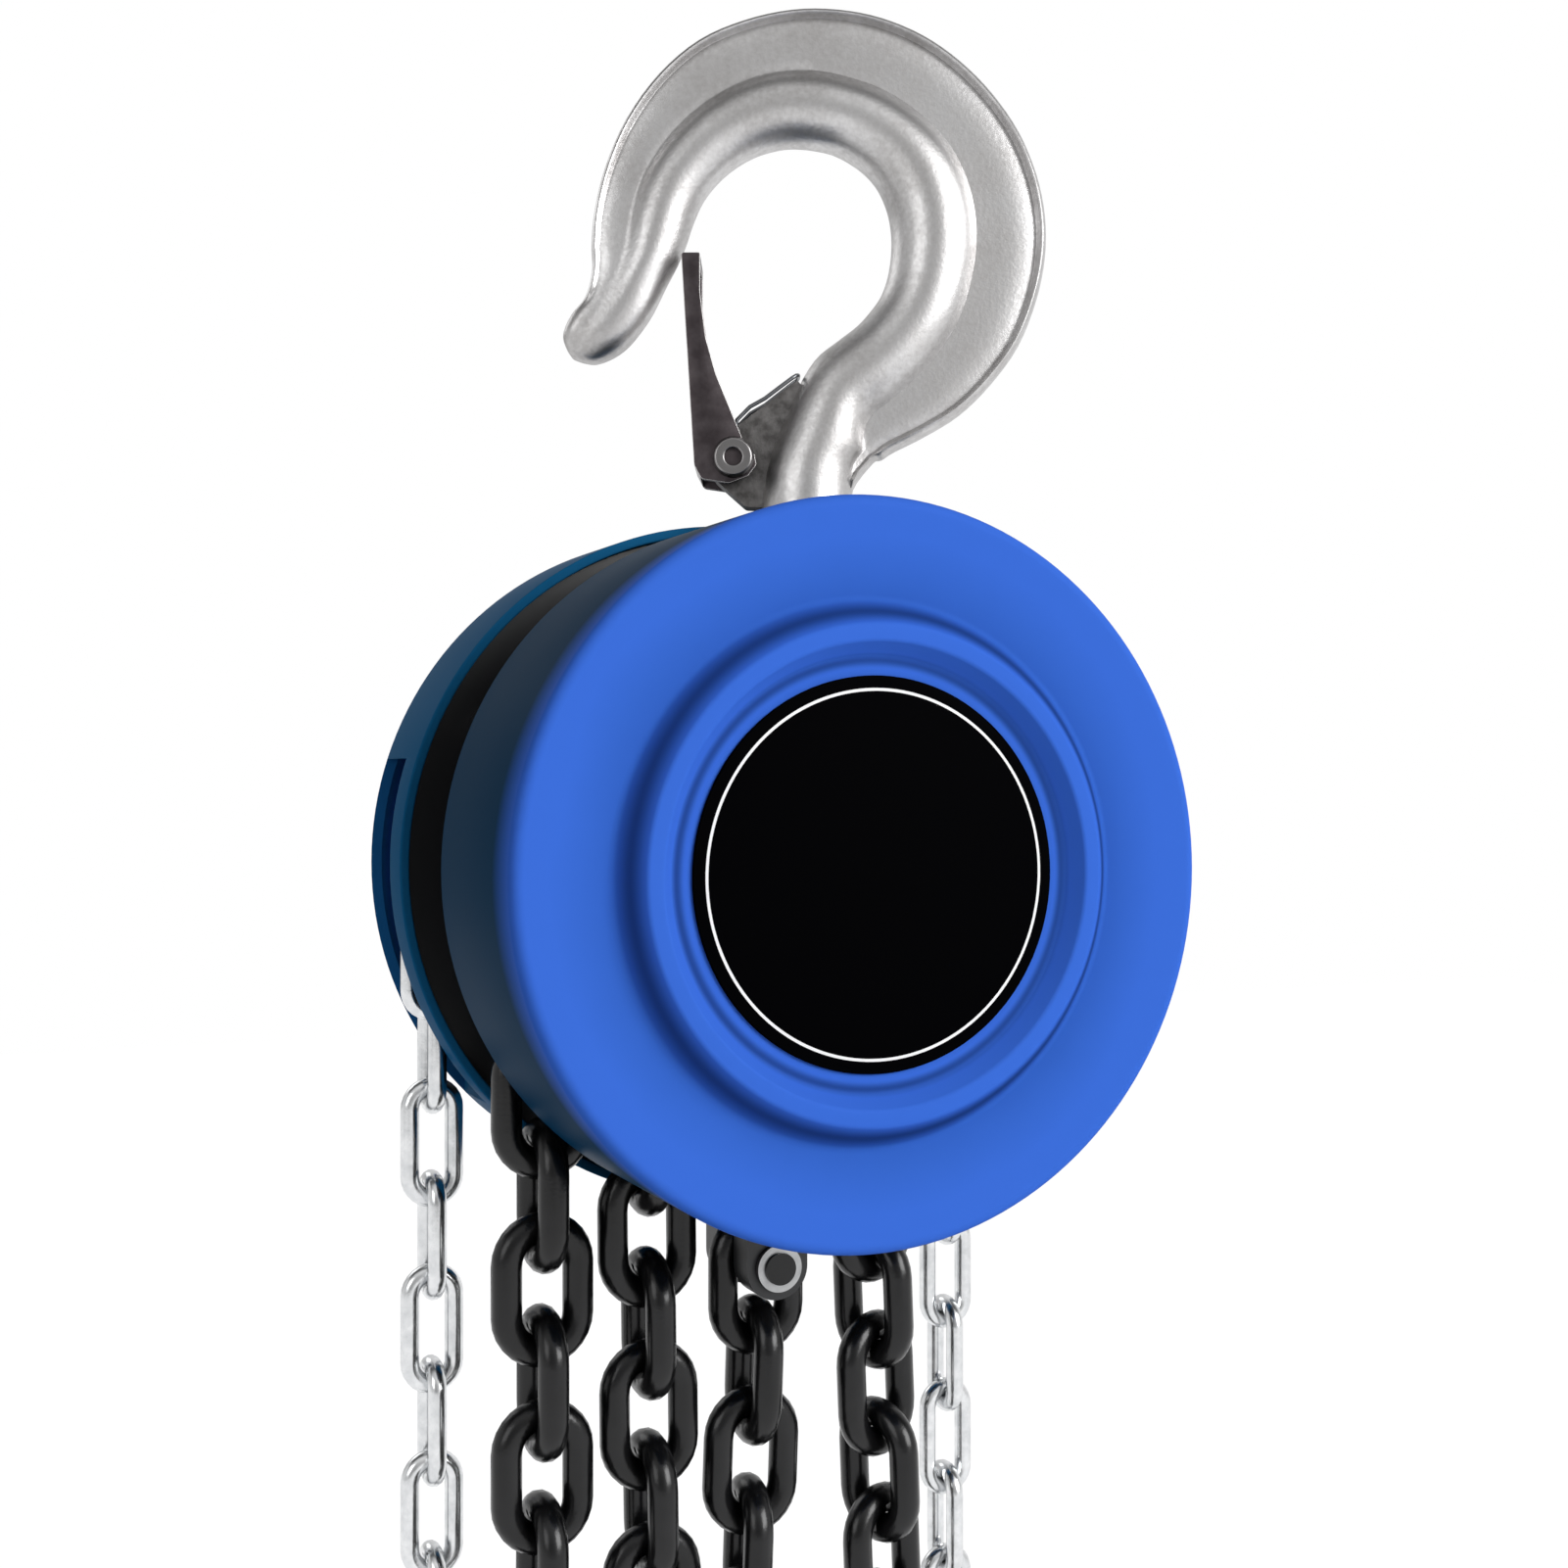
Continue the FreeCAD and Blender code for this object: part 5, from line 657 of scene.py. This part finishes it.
def latch(name, node_name, body, place):
    """The folded channel: a wall on the open side of the hook and a cheek at either face."""
    outline = rounded(LATCH, LATCH_RADII, 4)

    def build(bm):
        slab_of(bm, outline, -LATCH_HALF, LATCH_HALF)
        # wear and painted highlight: the bevelled folds take the light second material
        folds = [edge for edge in bm.edges if edge.calc_length() > 0.04]
        bmesh.ops.bevel(bm, geom=folds, offset=FOLD / 1000, segments=4, profile=0.5, affect="EDGES",
                        material=1)
    piece = mesh_piece(name, build, latch_steel, 40)
    piece.data.materials.append(wear_and_highlight_steel)

    def hollow(bm):
        slab_of(bm, LATCH_HOLLOW, -LATCH_HOLLOW_HALF, LATCH_HOLLOW_HALF)
    tool = mesh_piece("tool", hollow, latch_steel)
    cut = piece.modifiers.new("cut", "BOOLEAN")
    cut.operation = "DIFFERENCE"
    cut.object = tool
    # wear and painted highlight: the small bevels on the edges take the light material too
    edges = piece.modifiers.new("edges", "BEVEL")
    edges.width = 0.0005
    edges.segments = 2
    edges.material = 1
    edges.limit_method = "ANGLE"
    edges.angle_limit = math.radians(50)
    done = applied(piece)
    bpy.data.objects.remove(tool)
    # painted highlight: the faces of the wall that look outward take the light material
    for face in done.polygons:
        if face.normal.x < -0.8 and face.center.x < -0.022:
            face.material_index = 1
    done.transform(place)
    done.shade_smooth()
    done.set_sharp_from_angle(angle=math.radians(40))
    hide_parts(node_name)
    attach(piece, body)


def tube(name, path, radius, material, place, sides=12):
    """A round wire along a path in mm, closed at both ends."""
    def build(bm):
        last = None
        up = None
        for i, point in enumerate(path):
            along = (path[min(i + 1, len(path) - 1)] - path[max(i - 1, 0)]).normalized()
            up = (up - along * up.dot(along)).normalized() if up else along.orthogonal().normalized()
            side = along.cross(up)
            ring = [bm.verts.new((point + (up * math.cos(a) + side * math.sin(a)) * radius) / 1000)
                    for a in (2 * math.pi * k / sides for k in range(sides))]
            if last:
                for k in range(sides):
                    bm.faces.new((last[k], last[(k + 1) % sides], ring[(k + 1) % sides], ring[k]))
            else:
                bm.faces.new(ring[::-1])
            last = ring
        bm.faces.new(last)
        bmesh.ops.transform(bm, verts=bm.verts, matrix=place)
    return mesh_piece(name, build, material, 50)


def latch_spring(name, node_name, body, place):
    """A doubled wire: a coil on either side of the lug, with the two legs bridged at their far end."""
    path = []
    for side in (-1, 1):
        coil = []
        for i in range(0, 61):
            angle = math.radians(-200 + i * 10 - 150)
            coil.append(Vector((RIVET_X + COIL_RADIUS * math.cos(angle), side * (7.0 - 2.2 * i / 60),
                                RIVET_Z + COIL_RADIUS * math.sin(angle))))
        half = coil + [Vector((x, side * y, z)) for x, y, z in SPRING_LEG]
        path = path + half if side < 0 else path + half[::-1]
    smooth = [Vector(p) for p in catmull([list(p) for p in path], 2)]
    piece = tube(name, smooth, 0.55, wire_steel, place)
    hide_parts(node_name)
    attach(piece, body)


def latch_rivet(name, node_name, body, place):
    """A tubular rivet with both ends rolled over."""
    at = place @ Matrix.Translation((RIVET_X / 1000, 0, RIVET_Z / 1000))
    piece = turned(name, rounded(
        [(2.3, -10.9), (4.9, -11.0), (5.6, -9.5), (4, -9.5), (4, 9.5), (5.6, 9.5), (4.9, 11.0),
         (2.3, 10.9)],
        [0.5, 0.7, 0, 0, 0, 0, 0.7, 0.5]), rivet_steel, 40, at)
    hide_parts(node_name)
    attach(piece, body)


for end, place in (("top", TOP), ("bottom", BOTTOM)):
    latch(f"{end}_latch_sheet", f"{end}_latch", f"{end}_latch", place)
    latch_rivet(f"{end}_latch_rivet_tube", f"{end}_latch_rivet", f"{end}_hook", place)
    latch_spring(f"{end}_latch_spring_wire", f"{end}_latch_spring", f"{end}_hook", place)


# Everything behind the covers: plates and frame painted black, gears and shafts left machined and
# oiled, the hand wheel in grey cast iron, the friction discs in bonded lining.
plate_paint, tree, coordinates, shader = begin_finish("frame_paint_black", "#16171A", 0.0, 0.4)
rough_skin(tree, shader, coordinates, 2.0, 0.02)
machined, tree, coordinates, shader = begin_finish("machined_steel", "#A6A7A8", 1.0, 0.3)
clouded(tree, shader, coordinates, 6, (0.35, "#979899"), (0.7, "#B4B5B6"))
rough_skin(tree, shader, coordinates, 0.7, 0.01)
iron, tree, coordinates, shader = begin_finish("cast_iron", "#55575A", 0.85, 0.52)
rough_skin(tree, shader, coordinates, 1.3, 0.12, 3)
lining, tree, coordinates, shader = begin_finish("friction_lining", "#5A4A3C", 0.0, 0.85)
clouded(tree, shader, coordinates, 0.8, (0.3, "#43372C"), (0.7, "#78644F"), 4)
rough_skin(tree, shader, coordinates, 0.8, 0.08)

NODE_FINISH = {
    enamel: ("cover_screws",),
    plate_paint: ("gear_side_plate", "wheel_side_plate", "top_yoke", "chain_anchor", "chain_stripper",
                  "block_cheek_gear_side", "block_cheek_wheel_side", "crosshead", "gear_bearing_plate",
                  "stay_bolts", "stay_nuts", "block_bolts", "block_nuts", "gear_posts",
                  "slack_end_pin"),
    black_oxide: ("anchor_pin",),
    iron: ("hand_wheel", "load_sheave", "idler_sheave"),
    lining: ("friction_discs",),
    wire_steel: ("pawl_springs",),
}
chosen = {name: material for material, names in NODE_FINISH.items() for name in names}
for name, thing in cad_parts.items():
    material = chosen.get(name, machined)
    if thing.material_slots:
        for one in thing.material_slots:
            one.material = material
    else:
        thing.data.materials.append(material)
